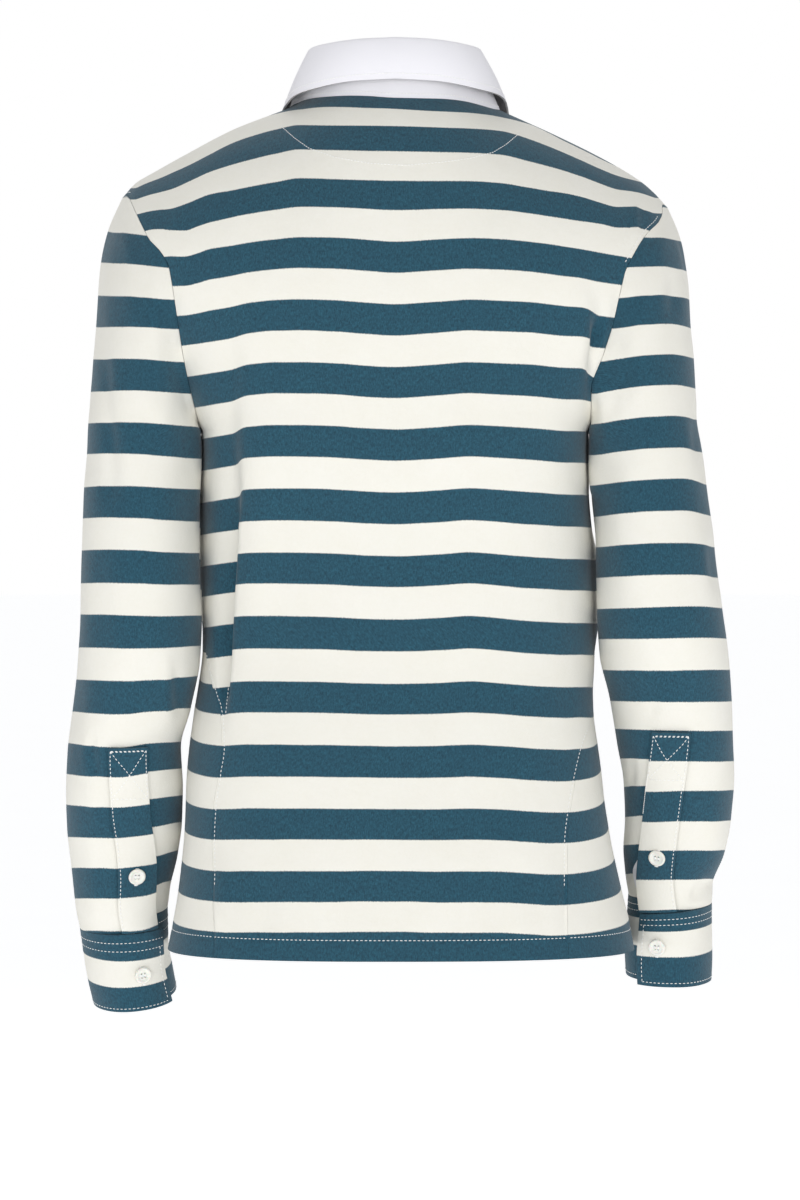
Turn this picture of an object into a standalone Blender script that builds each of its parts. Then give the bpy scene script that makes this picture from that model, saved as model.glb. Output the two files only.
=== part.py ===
"""Rugby shirt, worn: front, back, two set-in sleeves with plackets and cuffs, a collar on a stand and a front
placket. Every piece of cloth is a thin wall through rows of points worked out from the tables below.
+Z is up, the front faces -Y and +X is the wearer's left. The origin is at the middle of the neck opening, level
with the back neck seam. Lengths in the tables and functions are millimetres; the meshes are metres.
"""

import math
from collections import namedtuple

import bmesh
import bpy
from mathutils import Matrix, Vector

MM = 0.001

# Cloth
JERSEY = 1.6  # wall of the striped jersey
TURNED = 2.8  # wall where the hem is turned up
TWILL = 1.5  # wall of the woven collar and front placket
SEAM = 0.3  # gap between two pieces that are sewn together
LAID = 0.45  # gap under a piece that lies on another

# Body below the armholes: sections from the hem up. Half widths to the wearer's left and right, depths to the
# back and front, and where the side seams lie across the width, on the back's side of the section.
BodySection = namedtuple("BodySection", "z left right back front seam_left seam_right power")
BODY = (
    BodySection(-695, 186, 196, 119, 113, 145, -139, 2.6),
    BodySection(-673, 182, 192, 118, 113, 145, -138, 2.6),
    BodySection(-650, 178, 186, 117, 113, 146, -138, 2.6),
    BodySection(-628, 175, 181, 116, 113, 146, -138, 2.6),
    BodySection(-602, 172, 176, 114, 112, 147, -138, 2.6),
    BodySection(-576, 171, 172, 111, 112, 146, -141, 2.6),
    BodySection(-550, 170, 169, 109, 111, 142, -146, 2.6),
    BodySection(-526, 168, 166, 107, 110, 139, -152, 2.6),
    BodySection(-504, 165, 163, 105, 109, 140, -160, 2.6),
    BodySection(-480, 161, 162, 103, 108, 147, -162, 2.6),
    BodySection(-456, 157, 162, 102, 107, 153, -162, 2.6),
    BodySection(-430, 155, 162, 102, 107, 155, -162, 2.65),
    BodySection(-395, 154, 161, 103, 107, 154, -161, 2.70),
    BodySection(-355, 154, 159, 105, 108, 154, -159, 2.80),
    BodySection(-318, 155, 157, 109, 110, 155, -157, 2.95),
    BodySection(-288, 156, 156, 112, 112, 156, -156, 3.05),
)
FRONT_ROUNDER = 0.3  # the front's superellipse power is this much less than the back's
CHEST_Z = -272  # where the armholes start
CHEST_HALF = 157
HEM_TURN = 22  # depth of the turned hem

# Body above the armholes. A rise of 0 is the chest row and 1 the shoulder and neck seams. The armhole's distance
# from the centre on the back and front, and half the width of the whole chest at that rise.
YokeRow = namedtuple("YokeRow", "rise back_left back_right front half power")
YOKE = (
    YokeRow(0.000, 157.0, 157.0, 157.0, 157.0, 3.10),
    YokeRow(0.017, 158.5, 158.2, 158.2, 159.2, 3.05),
    YokeRow(0.067, 161.0, 158.0, 158.5, 166.0, 2.85),
    YokeRow(0.146, 165.0, 157.5, 158.0, 178.0, 2.65),
    YokeRow(0.250, 169.5, 162.0, 160.0, 191.0, 2.60),
    YokeRow(0.370, 173.5, 170.0, 164.0, 205.0, 2.60),
    YokeRow(0.500, 177.5, 177.0, 169.0, 219.0, 2.60),
    YokeRow(0.630, 183.0, 183.0, 177.0, 231.0, 2.60),
    YokeRow(0.750, 194.0, 191.0, 189.0, 237.0, 2.60),
    YokeRow(0.854, 205.0, 201.0, 201.0, 239.0, 2.60),
    YokeRow(0.933, 212.5, 210.0, 211.0, 239.0, 2.60),
    YokeRow(0.983, 219.0, 217.5, 218.5, 239.0, 2.60),
    YokeRow(1.000, 223.0, 223.0, 223.0, 239.0, 2.60),
)
YokeDepth = namedtuple("YokeDepth", "z back front")
YOKE_DEPTH = (
    YokeDepth(-290, 112, 112),
    YokeDepth(-250, 114, 113),
    YokeDepth(-200, 117, 113),
    YokeDepth(-145, 119, 112),
    YokeDepth(-60, 119, 110),
    YokeDepth(60, 119, 108),
)
# The ridge of the shoulders, where the shoulder seams run, by distance from the centre.
Ridge = namedtuple("Ridge", "across left right")
SHOULDER = (
    Ridge(0, 26, 26),
    Ridge(30, 22, 22),
    Ridge(60, 9, 8),
    Ridge(87, -7, -9),
    Ridge(100, -12, -15),
    Ridge(131, -24, -29),
    Ridge(175, -47, -51),
    Ridge(200, -61, -66),
    Ridge(212, -68, -76),
    Ridge(223, -80, -88),
)
RIDGE_Y = -5
BACK_ROLL, FRONT_ROLL = (4.0, 0.625), (2.2, 0.75)  # how each side rounds over to the ridge
NECK_HALF = 87
NECK_BACK_RISE = 5  # the back neck seam's middle above its ends
NECK_DROP = 73  # the front neck seam's middle below its ends

# Sleeves: sections from the armhole to the cuff, each by its outer and inner point seen from the back, with the
# middle's depth, half its depth and how far its back edge hangs below its front edge.
SleeveSection = namedtuple("SleeveSection", "out_x out_z in_x in_z y depth tilt")
SLEEVES = {
    "left": (
        SleeveSection(223, -80, 157, -272, -2, 76, 0),
        SleeveSection(235, -107, 160.5, -276, 0, 77, 0),
        SleeveSection(241, -133, 161, -285, 3, 77, 0),
        SleeveSection(243, -161, 161, -293, 6, 76, 0),
        SleeveSection(244, -188, 161, -302, 9, 75, 0),
        SleeveSection(246, -215, 161, -311, 12, 73, 0),
        SleeveSection(248, -241, 161, -321, 15, 71, 0),
        SleeveSection(250, -267, 160.5, -333, 18, 69, 0),
        SleeveSection(251, -292, 160, -346, 21, 67, 0),
        SleeveSection(253, -320, 160, -362, 24, 65, 0),
        SleeveSection(254, -352, 160, -381, 27, 63, 0),
        SleeveSection(255, -386, 159, -404, 29, 61, 0),
        SleeveSection(255.5, -421, 158, -429, 29, 59, 0),
        SleeveSection(258, -458, 159, -459, 26, 57, 1),
        SleeveSection(262.5, -497, 167, -497, 19, 54, 2),
        SleeveSection(267.5, -533, 175.5, -531, 9, 52, 3),
        SleeveSection(270, -566, 174, -566, -2, 50, 4),
        SleeveSection(270.5, -596, 175, -595, -12, 48, 5),
        SleeveSection(268, -625, 179, -624, -21, 46, 6),
        SleeveSection(265, -657, 186.5, -657, -30, 43, 6),
        SleeveSection(260.5, -688, 189, -684, -37, 40, 6),
    ),
    "right": (
        SleeveSection(223, -88, 157, -272, -2, 76, 0),
        SleeveSection(232, -108, 160.5, -276, 0, 77, 0),
        SleeveSection(237, -128, 161, -283, 3, 77, 0),
        SleeveSection(240, -156, 161, -291, 6, 76, 0),
        SleeveSection(241, -185, 160.5, -300, 9, 75, 0),
        SleeveSection(243.5, -211, 160.5, -308, 12, 73, 0),
        SleeveSection(245, -236, 160.5, -318, 15, 71, 0),
        SleeveSection(246, -260, 161, -330, 18, 69, 0),
        SleeveSection(250, -287, 162, -343, 21, 67, 0),
        SleeveSection(253.5, -318, 163.5, -358, 24, 65, 0),
        SleeveSection(258, -349, 164, -375, 27, 63, 0),
        SleeveSection(262, -382, 164.5, -397, 29, 61, 0),
        SleeveSection(266.5, -417, 164.5, -423, 29, 59, 0),
        SleeveSection(271.5, -454, 167, -454, 25, 56, 0),
        SleeveSection(274.5, -490, 175, -488, 17, 53, 0),
        SleeveSection(277, -528, 181.5, -527, 7, 50, 1),
        SleeveSection(278.5, -557, 187.5, -557, -3, 48, 1),
        SleeveSection(276.5, -591, 190, -591, -14, 46, 1),
        SleeveSection(271.5, -620, 189, -619, -25, 44, 2),
        SleeveSection(263.5, -644, 191, -644, -34, 42, 2),
        SleeveSection(263, -661, 194, -667, -40, 41, 2),
    ),
}
CUFFS = {
    "left": (
        SleeveSection(260.5, -688.3, 189, -684.3, -37, 40, 6),
        SleeveSection(258, -708, 188, -706, -41, 40, 7),
        SleeveSection(254.5, -728, 185, -723, -45, 40, 8),
        SleeveSection(251, -744, 182, -737, -48, 40, 8),
    ),
    "right": (
        SleeveSection(263, -661.3, 194, -667.3, -40, 41, 2),
        SleeveSection(263.5, -685, 192.5, -687, -44, 41, 2),
        SleeveSection(264, -707, 191.5, -707, -48, 41, 3),
        SleeveSection(263.5, -726, 192.5, -725, -50, 41, 3),
    ),
}
CUFF_END, CUFF_OVERLAP = 152, 46  # the free end's angle round the wrist, and how far it lies over the other end
CUFF_LIFT = 2.8  # how far the free end stands off, over the other end
WRIST_RAISE = 12  # the wrist seam's height, on the slit's under side, above its upper side
SLEEVE_POWER = 2.15
ARMHOLE_FADE = 7  # sections over which the armhole's own shape gives way to the sleeve's
ARMHOLE_AXIS = Vector((0.945, 0, -0.325))  # the way the left sleeve leaves its armhole
SLIT_ANGLE = 105  # where the sleeve opens at the cuff, round from its outer edge by way of the back
SLIT_FROM, SLIT_WIDTH = 17.0, 1.6  # the section where the slit ends, and its width

# Sleeve plackets: where the middle lies round the sleeve at each sleeve section. They cover the slits.
PlacketRow = namedtuple("PlacketRow", "section left right")
PLACKET = (
    PlacketRow(14.7, 97, 96),
    PlacketRow(16.3, 99, 109),
    PlacketRow(17.3, 104, 113),
    PlacketRow(18.2, 108, 113),
    PlacketRow(19.95, 115, 111),
)
PLACKET_TOP = {"left": 14.9, "right": 14.76}
PLACKET_WIDTH = 30
# The strips that bind the slits' under edges, by sleeve section: where their two edges lie round the sleeve,
# measured from the placket's middle.
UnderlapRow = namedtuple("UnderlapRow", "section left_from left_to right_from right_to")
UNDERLAP = (
    UnderlapRow(17.4, 1, 10, -4, 10),
    UnderlapRow(18.0, -1, 11, -4, 13),
    UnderlapRow(18.8, -4, 11, -4, 21),
    UnderlapRow(19.5, -5, 11, -3, 19),
)
UNDERLAP_WALL = 1.0

# Folds of the body: the crease's distance across at each height, how far the cloth towards the middle stands
# proud there, and how far the cloth towards the seam falls back.
FoldRow = namedtuple("FoldRow", "z across proud sunk")
BACK_FOLDS = {
    "left": (
        FoldRow(-695, 120, 0.0, 0.0),
        FoldRow(-560, 124, 0.0, 0.0),
        FoldRow(-515, 127, 1.0, 0.0),
        FoldRow(-490, 131, 3.0, 3.0),
        FoldRow(-465, 134, 4.5, 6.5),
        FoldRow(-420, 132, 5.0, 8.5),
        FoldRow(-360, 129, 4.5, 7.0),
        FoldRow(-300, 126, 3.5, 5.0),
        FoldRow(-250, 124, 2.0, 3.0),
        FoldRow(-200, 122, 1.0, 1.0),
        FoldRow(-160, 121, 0.0, 0.0),
        FoldRow(0, 121, 0.0, 0.0),
    ),
    "right": (
        FoldRow(-695, 118, 0.0, 0.0),
        FoldRow(-400, 130, 0.0, 0.0),
        FoldRow(-330, 139, 1.0, 0.0),
        FoldRow(-285, 145, 2.5, 1.0),
        FoldRow(-245, 147.5, 4.0, 2.5),
        FoldRow(-220, 150, 4.0, 3.5),
        FoldRow(-196, 152.5, 3.5, 4.0),
        FoldRow(-178, 151.5, 2.0, 2.0),
        FoldRow(-150, 147, 0.5, 0.0),
        FoldRow(-110, 138, 0.0, 0.0),
        FoldRow(0, 125, 0.0, 0.0),
    ),
}
CREASE_GAP = 5  # from a crease to the bottom of the fold beside it

# Collar, round the left half from the middle of the front to the middle of the back. A share is the distance
# along the neck seam; then the fold line, the fall's lower edge and how far the fall swells between them.
CollarRow = namedtuple("CollarRow", "share fold_x fold_y fold_z edge_x edge_y edge_z swell")
COLLAR = (
    CollarRow(0.00, 3, -77, -58, 46, -101, -122, 3),
    CollarRow(0.10, 21, -74, -54, 66, -98, -106, 3),
    CollarRow(0.20, 38, -65, -44, 82, -88, -86, 3),
    CollarRow(0.32, 54, -49, -20, 92, -66, -57, 3),
    CollarRow(0.43, 63, -28, 9, 95, -36, -25, 3),
    CollarRow(0.53, 67, -6, 29, 92, -7, -4, 3),
    CollarRow(0.66, 64, 20, 36, 86, 22, 1, 3),
    CollarRow(0.80, 50, 41, 38.5, 67, 49, 4, 3),
    CollarRow(0.91, 25, 53, 41, 34, 64, 9, 3),
    CollarRow(1.00, 0, 56, 42, 0, 68, 10.5, 3),
)

# Front placket and buttons
FRONT_PLACKET_WIDTH, FRONT_PLACKET_FOOT = 32, 3  # its foot lies this many rows above the chest
FRONT_BUTTON_Z = (-100, -150, -200)
BUTTON_ACROSS, BUTTON_THICK = 14, 2.6
SleeveButtons = namedtuple("SleeveButtons", "placket_section cuff_section cuff_angle")
SLEEVE_BUTTONS = {"left": SleeveButtons(18.1, 1.2, 112), "right": SleeveButtons(17.9, 1.3, 107)}

# Mesh density
BODY_ROWS = 17  # rows from the hem to the chest
YOKE_STEPS = 12  # rows from the chest to the shoulder, which are also half of a sleeve's columns
BACK_COLUMNS = (4, 1, 3, 8, 3, 1, 4)  # between the seam, fold, crease, neck, neck, crease, fold and seam
FRONT_COLUMNS = (7, 8, 7)  # between the seam, the two sides of the neck and the seam
SLEEVE_RINGS = 28
CUFF_COLUMNS = 30


def clamp(value, low=0.0, high=1.0):
    return max(low, min(high, value))


def ease(value):
    """0 to 1 with flat ends."""
    value = clamp(value)
    return value * value * (3 - 2 * value)


def signed_power(value, power):
    return math.copysign(abs(value) ** power, value)


def read(table, key, column, at):
    """A table's column where its key is `at`, on a smooth curve that never swings past its rows."""
    keys = [getattr(row, key) for row in table]
    values = [getattr(row, column) for row in table]
    at = clamp(at, keys[0], keys[-1])
    last = len(keys) - 2
    i = min(last, max(0, sum(1 for k in keys if k <= at) - 1))
    steps = [(values[j + 1] - values[j]) / (keys[j + 1] - keys[j]) for j in range(len(keys) - 1)]

    def slope(j):
        if j in (0, len(keys) - 1) or steps[j - 1] * steps[j] <= 0:
            return 0.0 if j not in (0, len(keys) - 1) else steps[min(j, last)]
        return 2 * steps[j - 1] * steps[j] / (steps[j - 1] + steps[j])

    width = keys[i + 1] - keys[i]
    t = (at - keys[i]) / width
    return (
        values[i] * (1 + 2 * t) * (1 - t) ** 2
        + slope(i) * width * t * (1 - t) ** 2
        + values[i + 1] * t * t * (3 - 2 * t)
        + slope(i + 1) * width * t * t * (t - 1)
    )


# ---- The body's surface ----


def ring_point(z, degrees):
    """The body below the armholes: 0 degrees is the wearer's left side, 90 the back, 180 the right side."""
    c, s = math.cos(math.radians(degrees)), math.sin(math.radians(degrees))
    half = read(BODY, "z", "left" if c > 0 else "right", z)
    depth = read(BODY, "z", "back" if s > 0 else "front", z)
    power = 2 / (read(BODY, "z", "power", z) - (0 if s > 0 else FRONT_ROUNDER))
    return Vector((half * signed_power(c, power), depth * signed_power(s, power), z))


def seam_angle(z, side):
    """The angle of a side seam, which lies on the back's side of the section."""
    half = read(BODY, "z", side, z)
    across = abs(read(BODY, "z", "seam_" + side, z))
    angle = math.degrees(math.acos(clamp(across / half) ** (read(BODY, "z", "power", z) / 2)))
    return angle if side == "left" else 180 - angle


def ridge(x):
    return read(SHOULDER, "across", "left" if x > 0 else "right", abs(x))


def top_edge(x, cloth):
    """The height of the shoulder seam, or of the neck seam between the neck points."""
    if abs(x) >= NECK_HALF:
        return ridge(x)
    ends = (ridge(NECK_HALF) + ridge(-NECK_HALF)) / 2
    ends += (ridge(NECK_HALF) - ridge(-NECK_HALF)) / 2 * x / NECK_HALF
    across = abs(x) / NECK_HALF
    if cloth == "back":
        return ends + NECK_BACK_RISE * (1 - across**2)
    return ends - NECK_DROP * (1 - across**2.2) ** 0.6


def yoke_point(x, z, cloth):
    """The body above the armholes, where each column rounds over to the shoulder's ridge."""
    rise = clamp((z - CHEST_Z) / (ridge(x) - CHEST_Z))
    half = read(YOKE, "rise", "half", rise)
    depth = read(YOKE_DEPTH, "z", cloth, z)
    power = read(YOKE, "rise", "power", rise) - (0 if cloth == "back" else FRONT_ROUNDER)
    lift, roll = BACK_ROLL if cloth == "back" else FRONT_ROLL
    y = depth * (1 - clamp(abs(x) / half) ** power) ** (1 / power)
    y = y if cloth == "back" else -y
    y = RIDGE_Y + (y - RIDGE_Y) * (1 - rise**lift) ** roll
    return Vector((x, y, z))


def rise_at(step):
    """Rows lie closer together near the armpit and the shoulder, as on the rim of a ring."""
    return (1 - math.cos(math.pi * step / YOKE_STEPS)) / 2


def armhole_x(rise, cloth, side):
    column = "front" if cloth == "front" else "back_" + side
    x = read(YOKE, "rise", column, rise)
    return x if side == "left" else -x


def armhole_point(side, degrees):
    """0 degrees is the shoulder's tip, 90 the back, 180 the armpit and 270 the front."""
    rise = (1 + math.cos(math.radians(degrees))) / 2
    cloth = "back" if math.sin(math.radians(degrees)) >= 0 else "front"
    x = armhole_x(rise, cloth, side)
    return yoke_point(x, CHEST_Z + (ridge(x) - CHEST_Z) * rise, cloth)


def armhole_out(side, degrees):
    """The way out that both cloths share at the armhole: away from the middle of the hole at the shoulder,
    and shorter towards the armpit, where each cloth's own way out takes over."""
    middle = (armhole_point(side, 0) + armhole_point(side, 180)) / 2
    out = armhole_point(side, degrees) - middle
    axis = ARMHOLE_AXIS if side == "left" else Vector((-ARMHOLE_AXIS.x, 0, ARMHOLE_AXIS.z))
    shared = ease((math.cos(math.radians(degrees)) + 0.6) / 1.1)
    return (out - axis * out.dot(axis)).normalized() * shared


# ---- Rows of points ----


def spread(points, marks, counts):
    """Points along a fine line: evenly spaced between marks, which are places where x crosses a value."""
    far = [0.0]
    for a, b in zip(points, points[1:]):
        far.append(far[-1] + (b - a).length)
    stops = [0.0]
    for mark in marks:
        for i in range(1, len(points)):
            a, b = points[i - 1].x - mark, points[i].x - mark
            if a * b <= 0 and a != b and far[i] > stops[-1] + 1:
                stops.append(far[i - 1] + (far[i] - far[i - 1]) * a / (a - b))
                break
    stops.append(far[-1])
    if len(stops) != len(counts) + 1:
        raise ValueError("a mark lies off its row")
    wanted = [stops[0]]
    for start, end, count in zip(stops, stops[1:], counts):
        wanted += [start + (end - start) * k / count for k in range(1, count + 1)]
    row = []
    for place in wanted:
        i = min(len(far) - 1, max(1, sum(1 for d in far if d < place)))
        share = (place - far[i - 1]) / (far[i] - far[i - 1])
        row.append(points[i - 1].lerp(points[i], clamp(share)))
    return row


def drawn_in(row, gap):
    """The row with its two ends drawn in by half a seam."""
    row[0] = row[0] + (row[1] - row[0]).normalized() * gap
    row[-1] = row[-1] + (row[-2] - row[-1]).normalized() * gap
    return row


def fold_marks(z):
    left = read(BACK_FOLDS["left"], "z", "across", z)
    right = read(BACK_FOLDS["right"], "z", "across", z)
    return (left + CREASE_GAP, left, NECK_HALF, -NECK_HALF, -right, -right - CREASE_GAP)


def low_row(cloth, z):
    start, end = seam_angle(z, "left"), seam_angle(z, "right")
    if cloth == "front":
        end -= 360
    fine = [ring_point(z, start + (end - start) * k / 180) for k in range(181)]
    if cloth == "back":
        row = spread(fine, fold_marks(z), BACK_COLUMNS)
    else:
        middle = [p for p in fine if p.y < 0]
        neck = NECK_HALF + (abs(middle[0].x) - NECK_HALF) * 0.1
        row = spread(middle, (neck, -neck), FRONT_COLUMNS)
        row = front_ends(fine, row)
    return drawn_in(row, SEAM / 2)


def front_ends(fine, row):
    """Re-spaces the front's outer columns, which run on round the sides to the seams."""
    first, last = FRONT_COLUMNS[0], FRONT_COLUMNS[2]
    inner = row[first : len(row) - last]
    head = [p for p in fine if p.x > inner[0].x or p.y > 0][: len(fine) // 2]
    tail = [p for p in fine if p.x < inner[-1].x or p.y > 0][-len(fine) // 2 :]
    head = [p for p in head if p.x > 0] + [inner[0]]
    tail = [inner[-1]] + [p for p in tail if p.x < 0]
    return spread(head, (), (first,)) + inner[1:-1] + spread(tail, (), (last,))


def high_row(cloth, step):
    rise = rise_at(step)
    left, right = armhole_x(rise, cloth, "left"), armhole_x(rise, cloth, "right")
    fine = []
    for k in range(201):
        x = (left + right) / 2 + (left - right) / 2 * math.cos(math.pi * k / 200)
        fine.append(yoke_point(x, CHEST_Z + (top_edge(x, cloth) - CHEST_Z) * rise, cloth))
    if cloth == "back":
        row = spread(fine, fold_marks(fine[40].z), BACK_COLUMNS)
    else:
        row = spread(fine, (NECK_HALF, -NECK_HALF), FRONT_COLUMNS)
    if step == 0:
        return drawn_in(row, SEAM / 2)
    if step == YOKE_STEPS:
        apart = SEAM / 2 if cloth == "back" else -SEAM / 2
        row = [p + Vector((0, apart, 0)) if abs(p.x) >= NECK_HALF - 1 else p for p in row]
    return row


def folded(rows):
    """The back's rows with its two creases: proud towards the middle, sunk towards the seam."""
    sunk_column = {"left": BACK_COLUMNS[0], "right": len(rows[0]) - 1 - BACK_COLUMNS[-1]}
    for row in rows[1:]:
        for side, column in sunk_column.items():
            inward = 1 if side == "left" else -1
            z = row[column].z
            proud = read(BACK_FOLDS[side], "z", "proud", z)
            sunk = read(BACK_FOLDS[side], "z", "sunk", z)
            row[column] = row[column] - Vector((0, sunk, 0))
            row[column - inward] = row[column - inward] - Vector((0, sunk * 0.5, 0))
            row[column + inward] = row[column + inward] + Vector((0, proud, 0))
            row[column + 2 * inward] = row[column + 2 * inward] + Vector((0, proud * 0.4, 0))
    return rows


def body_rows(cloth):
    low, high = BODY[0].z, BODY[-1].z
    heights = [low, low + HEM_TURN - 1, low + HEM_TURN + 1]
    heights += [low + HEM_TURN + (high - low - HEM_TURN) * k / (BODY_ROWS - 1) for k in range(1, BODY_ROWS)]
    rows = [low_row(cloth, z) for z in heights]
    rows += [high_row(cloth, step) for step in range(YOKE_STEPS + 1)]
    return folded(rows) if cloth == "back" else [row[::-1] for row in rows]


# ---- The sleeves' surface ----


def section_point(row, side, degrees):
    """A point of a sleeve's section: 0 degrees is its outer edge, 90 its back and 180 its inner edge."""
    c, s = math.cos(math.radians(degrees)), math.sin(math.radians(degrees))
    outer, inner = Vector((row.out_x, 0, row.out_z)), Vector((row.in_x, 0, row.in_z))
    power = 2 / SLEEVE_POWER
    back = signed_power(s, power)
    point = (outer + inner) / 2 + (outer - inner) / 2 * signed_power(c, power)
    point += Vector((0, row.y + row.depth * back, -row.tilt * back))
    return point if side == "left" else Vector((-point.x, point.y, point.z))


def section_at(table, place):
    """The section at a place between the table's rows, on smooth curves."""
    Numbered = namedtuple("Numbered", ("number",) + SleeveSection._fields)
    rows = [Numbered(number, *row) for number, row in enumerate(table)]
    return SleeveSection(*(read(rows, "number", field, place) for field in SleeveSection._fields))


def raised(degrees):
    """How far the wrist seam rides up, from the slit's under side round the inner edge to the front."""
    degrees = (degrees - SLIT_ANGLE) % 360 + SLIT_ANGLE
    return WRIST_RAISE * (1 - ease((degrees - 190) / 100))


def sleeve_point(side, place, degrees, under=True):
    """The sleeve's outside at a place down its table of sections; it starts with the armhole's own shape."""
    table = SLEEVES[side]
    point = section_point(section_at(table, place), side, degrees)
    if under:
        point.z += raised(degrees) * clamp((place - SLIT_FROM) / (len(table) - 1 - SLIT_FROM))
    own = (1 - ease(place / ARMHOLE_FADE)) ** 1.5
    if own > 0:
        axis = ARMHOLE_AXIS if side == "left" else Vector((-ARMHOLE_AXIS.x, 0, ARMHOLE_AXIS.z))
        start = armhole_point(side, degrees) + axis * SEAM
        point += (start - section_point(table[0], side, degrees)) * own
    return point


def sleeve_rows(side):
    rows = []
    columns = 2 * YOKE_STEPS
    last = len(SLEEVES[side]) - 1
    for ring in range(SLEEVE_RINGS + 1):
        place = last * ring / SLEEVE_RINGS
        row = [sleeve_point(side, place, SLIT_ANGLE + 360 * k / columns) for k in range(columns)]
        row.append(sleeve_point(side, place, SLIT_ANGLE, under=False))
        if place > SLIT_FROM:
            across = row[1] - row[-2]
            across = Vector((across.x, across.y, 0)).normalized() * SLIT_WIDTH / 2
            row[0] = row[0] + across
            row[-1] = row[-1] - across
        rows.append(row)
    return rows


def step_along(side, place, degrees, distance, under):
    """The angle that lies `distance` further round a sleeve's section."""
    before, after = (sleeve_point(side, place, degrees + turn, under) for turn in (-1, 1))
    return degrees + 2 * distance / (after - before).length


def sleeve_out(side, place, degrees, under):
    """The way straight out of a sleeve's cloth."""
    before, after = (sleeve_point(side, place, degrees + turn, under) for turn in (-2, 2))
    above, below = (sleeve_point(side, place + step, degrees, under) for step in (-0.05, 0.05))
    out = (below - above).cross(after - before) * (1 if side == "left" else -1)
    return out.normalized()


def laid_rows(side, places, edges, height, columns, under):
    """Points over a sleeve, between two edges measured round it from the placket's middle, moved out."""
    laid = []
    for place in places:
        middle = read(PLACKET, "section", side, place)
        start, end = edges(place)
        row = []
        for c in range(columns + 1):
            degrees = step_along(side, place, middle, start + (end - start) * c / columns, under)
            out = sleeve_out(side, place, degrees, under)
            row.append(sleeve_point(side, place, degrees, under) + out * height)
        laid.append(row)
    return laid


def cuff_point(side, place, turned):
    """A cuff's outside, by its row and the angle turned from its free end, which lies over its other end."""
    section = section_at(CUFFS[side], place)
    degrees = CUFF_END - turned
    point = section_point(section, side, degrees)
    middle = section_point(section, side, 0).lerp(section_point(section, side, 180), 0.5)
    out = point - middle
    out.z = 0
    if turned > 200:
        point.z += raised(degrees + 360) * (1 - place / 4)
    out = out.normalized() - Vector((0, 0, 0.25))
    return point + out * CUFF_LIFT * ease((112 - turned) / 60)


# ---- The collar ----


def neck_seam(rows_back, rows_front):
    """The neck seam's points from the middle of the front, round the wearer's left, back to the front."""
    front, back = rows_front[-1][::-1], rows_back[-1]
    first = FRONT_COLUMNS[0]
    middle = first + FRONT_COLUMNS[1] // 2
    left_front = front[first : middle + 1][::-1]
    right_front = front[middle : middle + FRONT_COLUMNS[1] // 2 + 1][::-1]
    start = sum(BACK_COLUMNS[:3])
    across_back = back[start : start + BACK_COLUMNS[3] + 1]
    left_neck = (left_front[-1] + across_back[0]) / 2
    right_neck = (right_front[0] + across_back[-1]) / 2
    return left_front[:-1] + [left_neck] + across_back[1:-1] + [right_neck] + right_front[1:]


def neck_out(point):
    """The way out of the cloth at the neck seam, shared by the collar's stand and the body."""
    round_it = Vector((point.x / NECK_HALF**2, (point.y + 12) / 68**2, 0)).normalized()
    return (round_it + Vector((0, 0, 0.8))).normalized()


def collar_point(share, way, line):
    """The collar's fold line or its lower edge; way is 1 on the wearer's left and -1 on the right."""
    x, y, z = (read(COLLAR, "share", f"{line}_{axis}", share) for axis in "xyz")
    return Vector((way * x, y, z))


def collar_rows(seam):
    """The stand's rows from the seam to the fold line, and the fall's rows from the fold to its edge."""
    far = [0.0]
    for a, b in zip(seam, seam[1:]):
        far.append(far[-1] + (b - a).length)
    half = far[len(seam) // 2]
    stand, fall = [[], [], []], [[] for _ in range(9)]
    for point, place in zip(seam, far):
        share = clamp(place / half if place <= half else (far[-1] - place) / (far[-1] - half))
        way = 1 if place <= half else -1
        fold, edge = collar_point(share, way, "fold"), collar_point(share, way, "edge")
        along = collar_point(min(1, share + 0.02), way, "fold") - collar_point(max(0, share - 0.02), way, "fold")
        along.normalize()
        out = Vector((fold.x, fold.y + 10, 0)).normalized()
        up = Vector((0, 0, 1)) - along * along.z
        up.normalize()
        out = (out - along * out.dot(along) - up * out.dot(up)).normalized()
        base = point + (fold - point).normalized() * SEAM
        stand[0].append(base)
        stand[1].append(base.lerp(fold, 0.5) - out * 1.0)
        stand[2].append(fold)
        roll = ((-1.9, TWILL + 0.5), (0.2, TWILL + 0.9), (2.6, TWILL + 0.5), (4.6, -1.2))
        for row, (across, rise) in zip(fall, roll):
            row.append(fold + out * across + up * rise)
        start = fall[3][-1]
        bulge = (edge - start).cross(along).normalized()
        bulge = bulge if bulge.dot(out) > 0 else -bulge
        swell = read(COLLAR, "share", "swell", share)
        for k in range(1, 6):
            t = k / 5
            fall[3 + k].append(start.lerp(edge, t) + bulge * swell * 4 * t * (1 - t))
    return stand, fall


# ---- Meshes ----


def grid_of(points):
    """A grid whose corners are moved to the points, row by row."""
    mesh = bmesh.new()
    last_row, last_column = len(points) - 1, len(points[0]) - 1
    bmesh.ops.create_grid(mesh, x_segments=last_column, y_segments=last_row, size=1)
    rim = mesh.verts.layers.float_vector.new("rim")
    deep = mesh.verts.layers.float.new("deep")
    for vert in mesh.verts:
        column = round((vert.co.x + 1) / 2 * last_column)
        row = round((vert.co.y + 1) / 2 * last_row)
        vert.co = points[row][column]
        vert[deep] = 1.0
        vert[rim] = (row, column, 1)
    return mesh


def set_rims(mesh, rims, deeper):
    """Turns each corner's row and column into its seam direction and its share of the wall's thickness."""
    rim, deep = mesh.verts.layers.float_vector["rim"], mesh.verts.layers.float["deep"]
    for vert in mesh.verts:
        row, column = round(vert[rim][0]), round(vert[rim][1])
        vert[rim] = rims.get((row, column), Vector())
        vert[deep] = deeper.get(row, 1.0)


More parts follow.
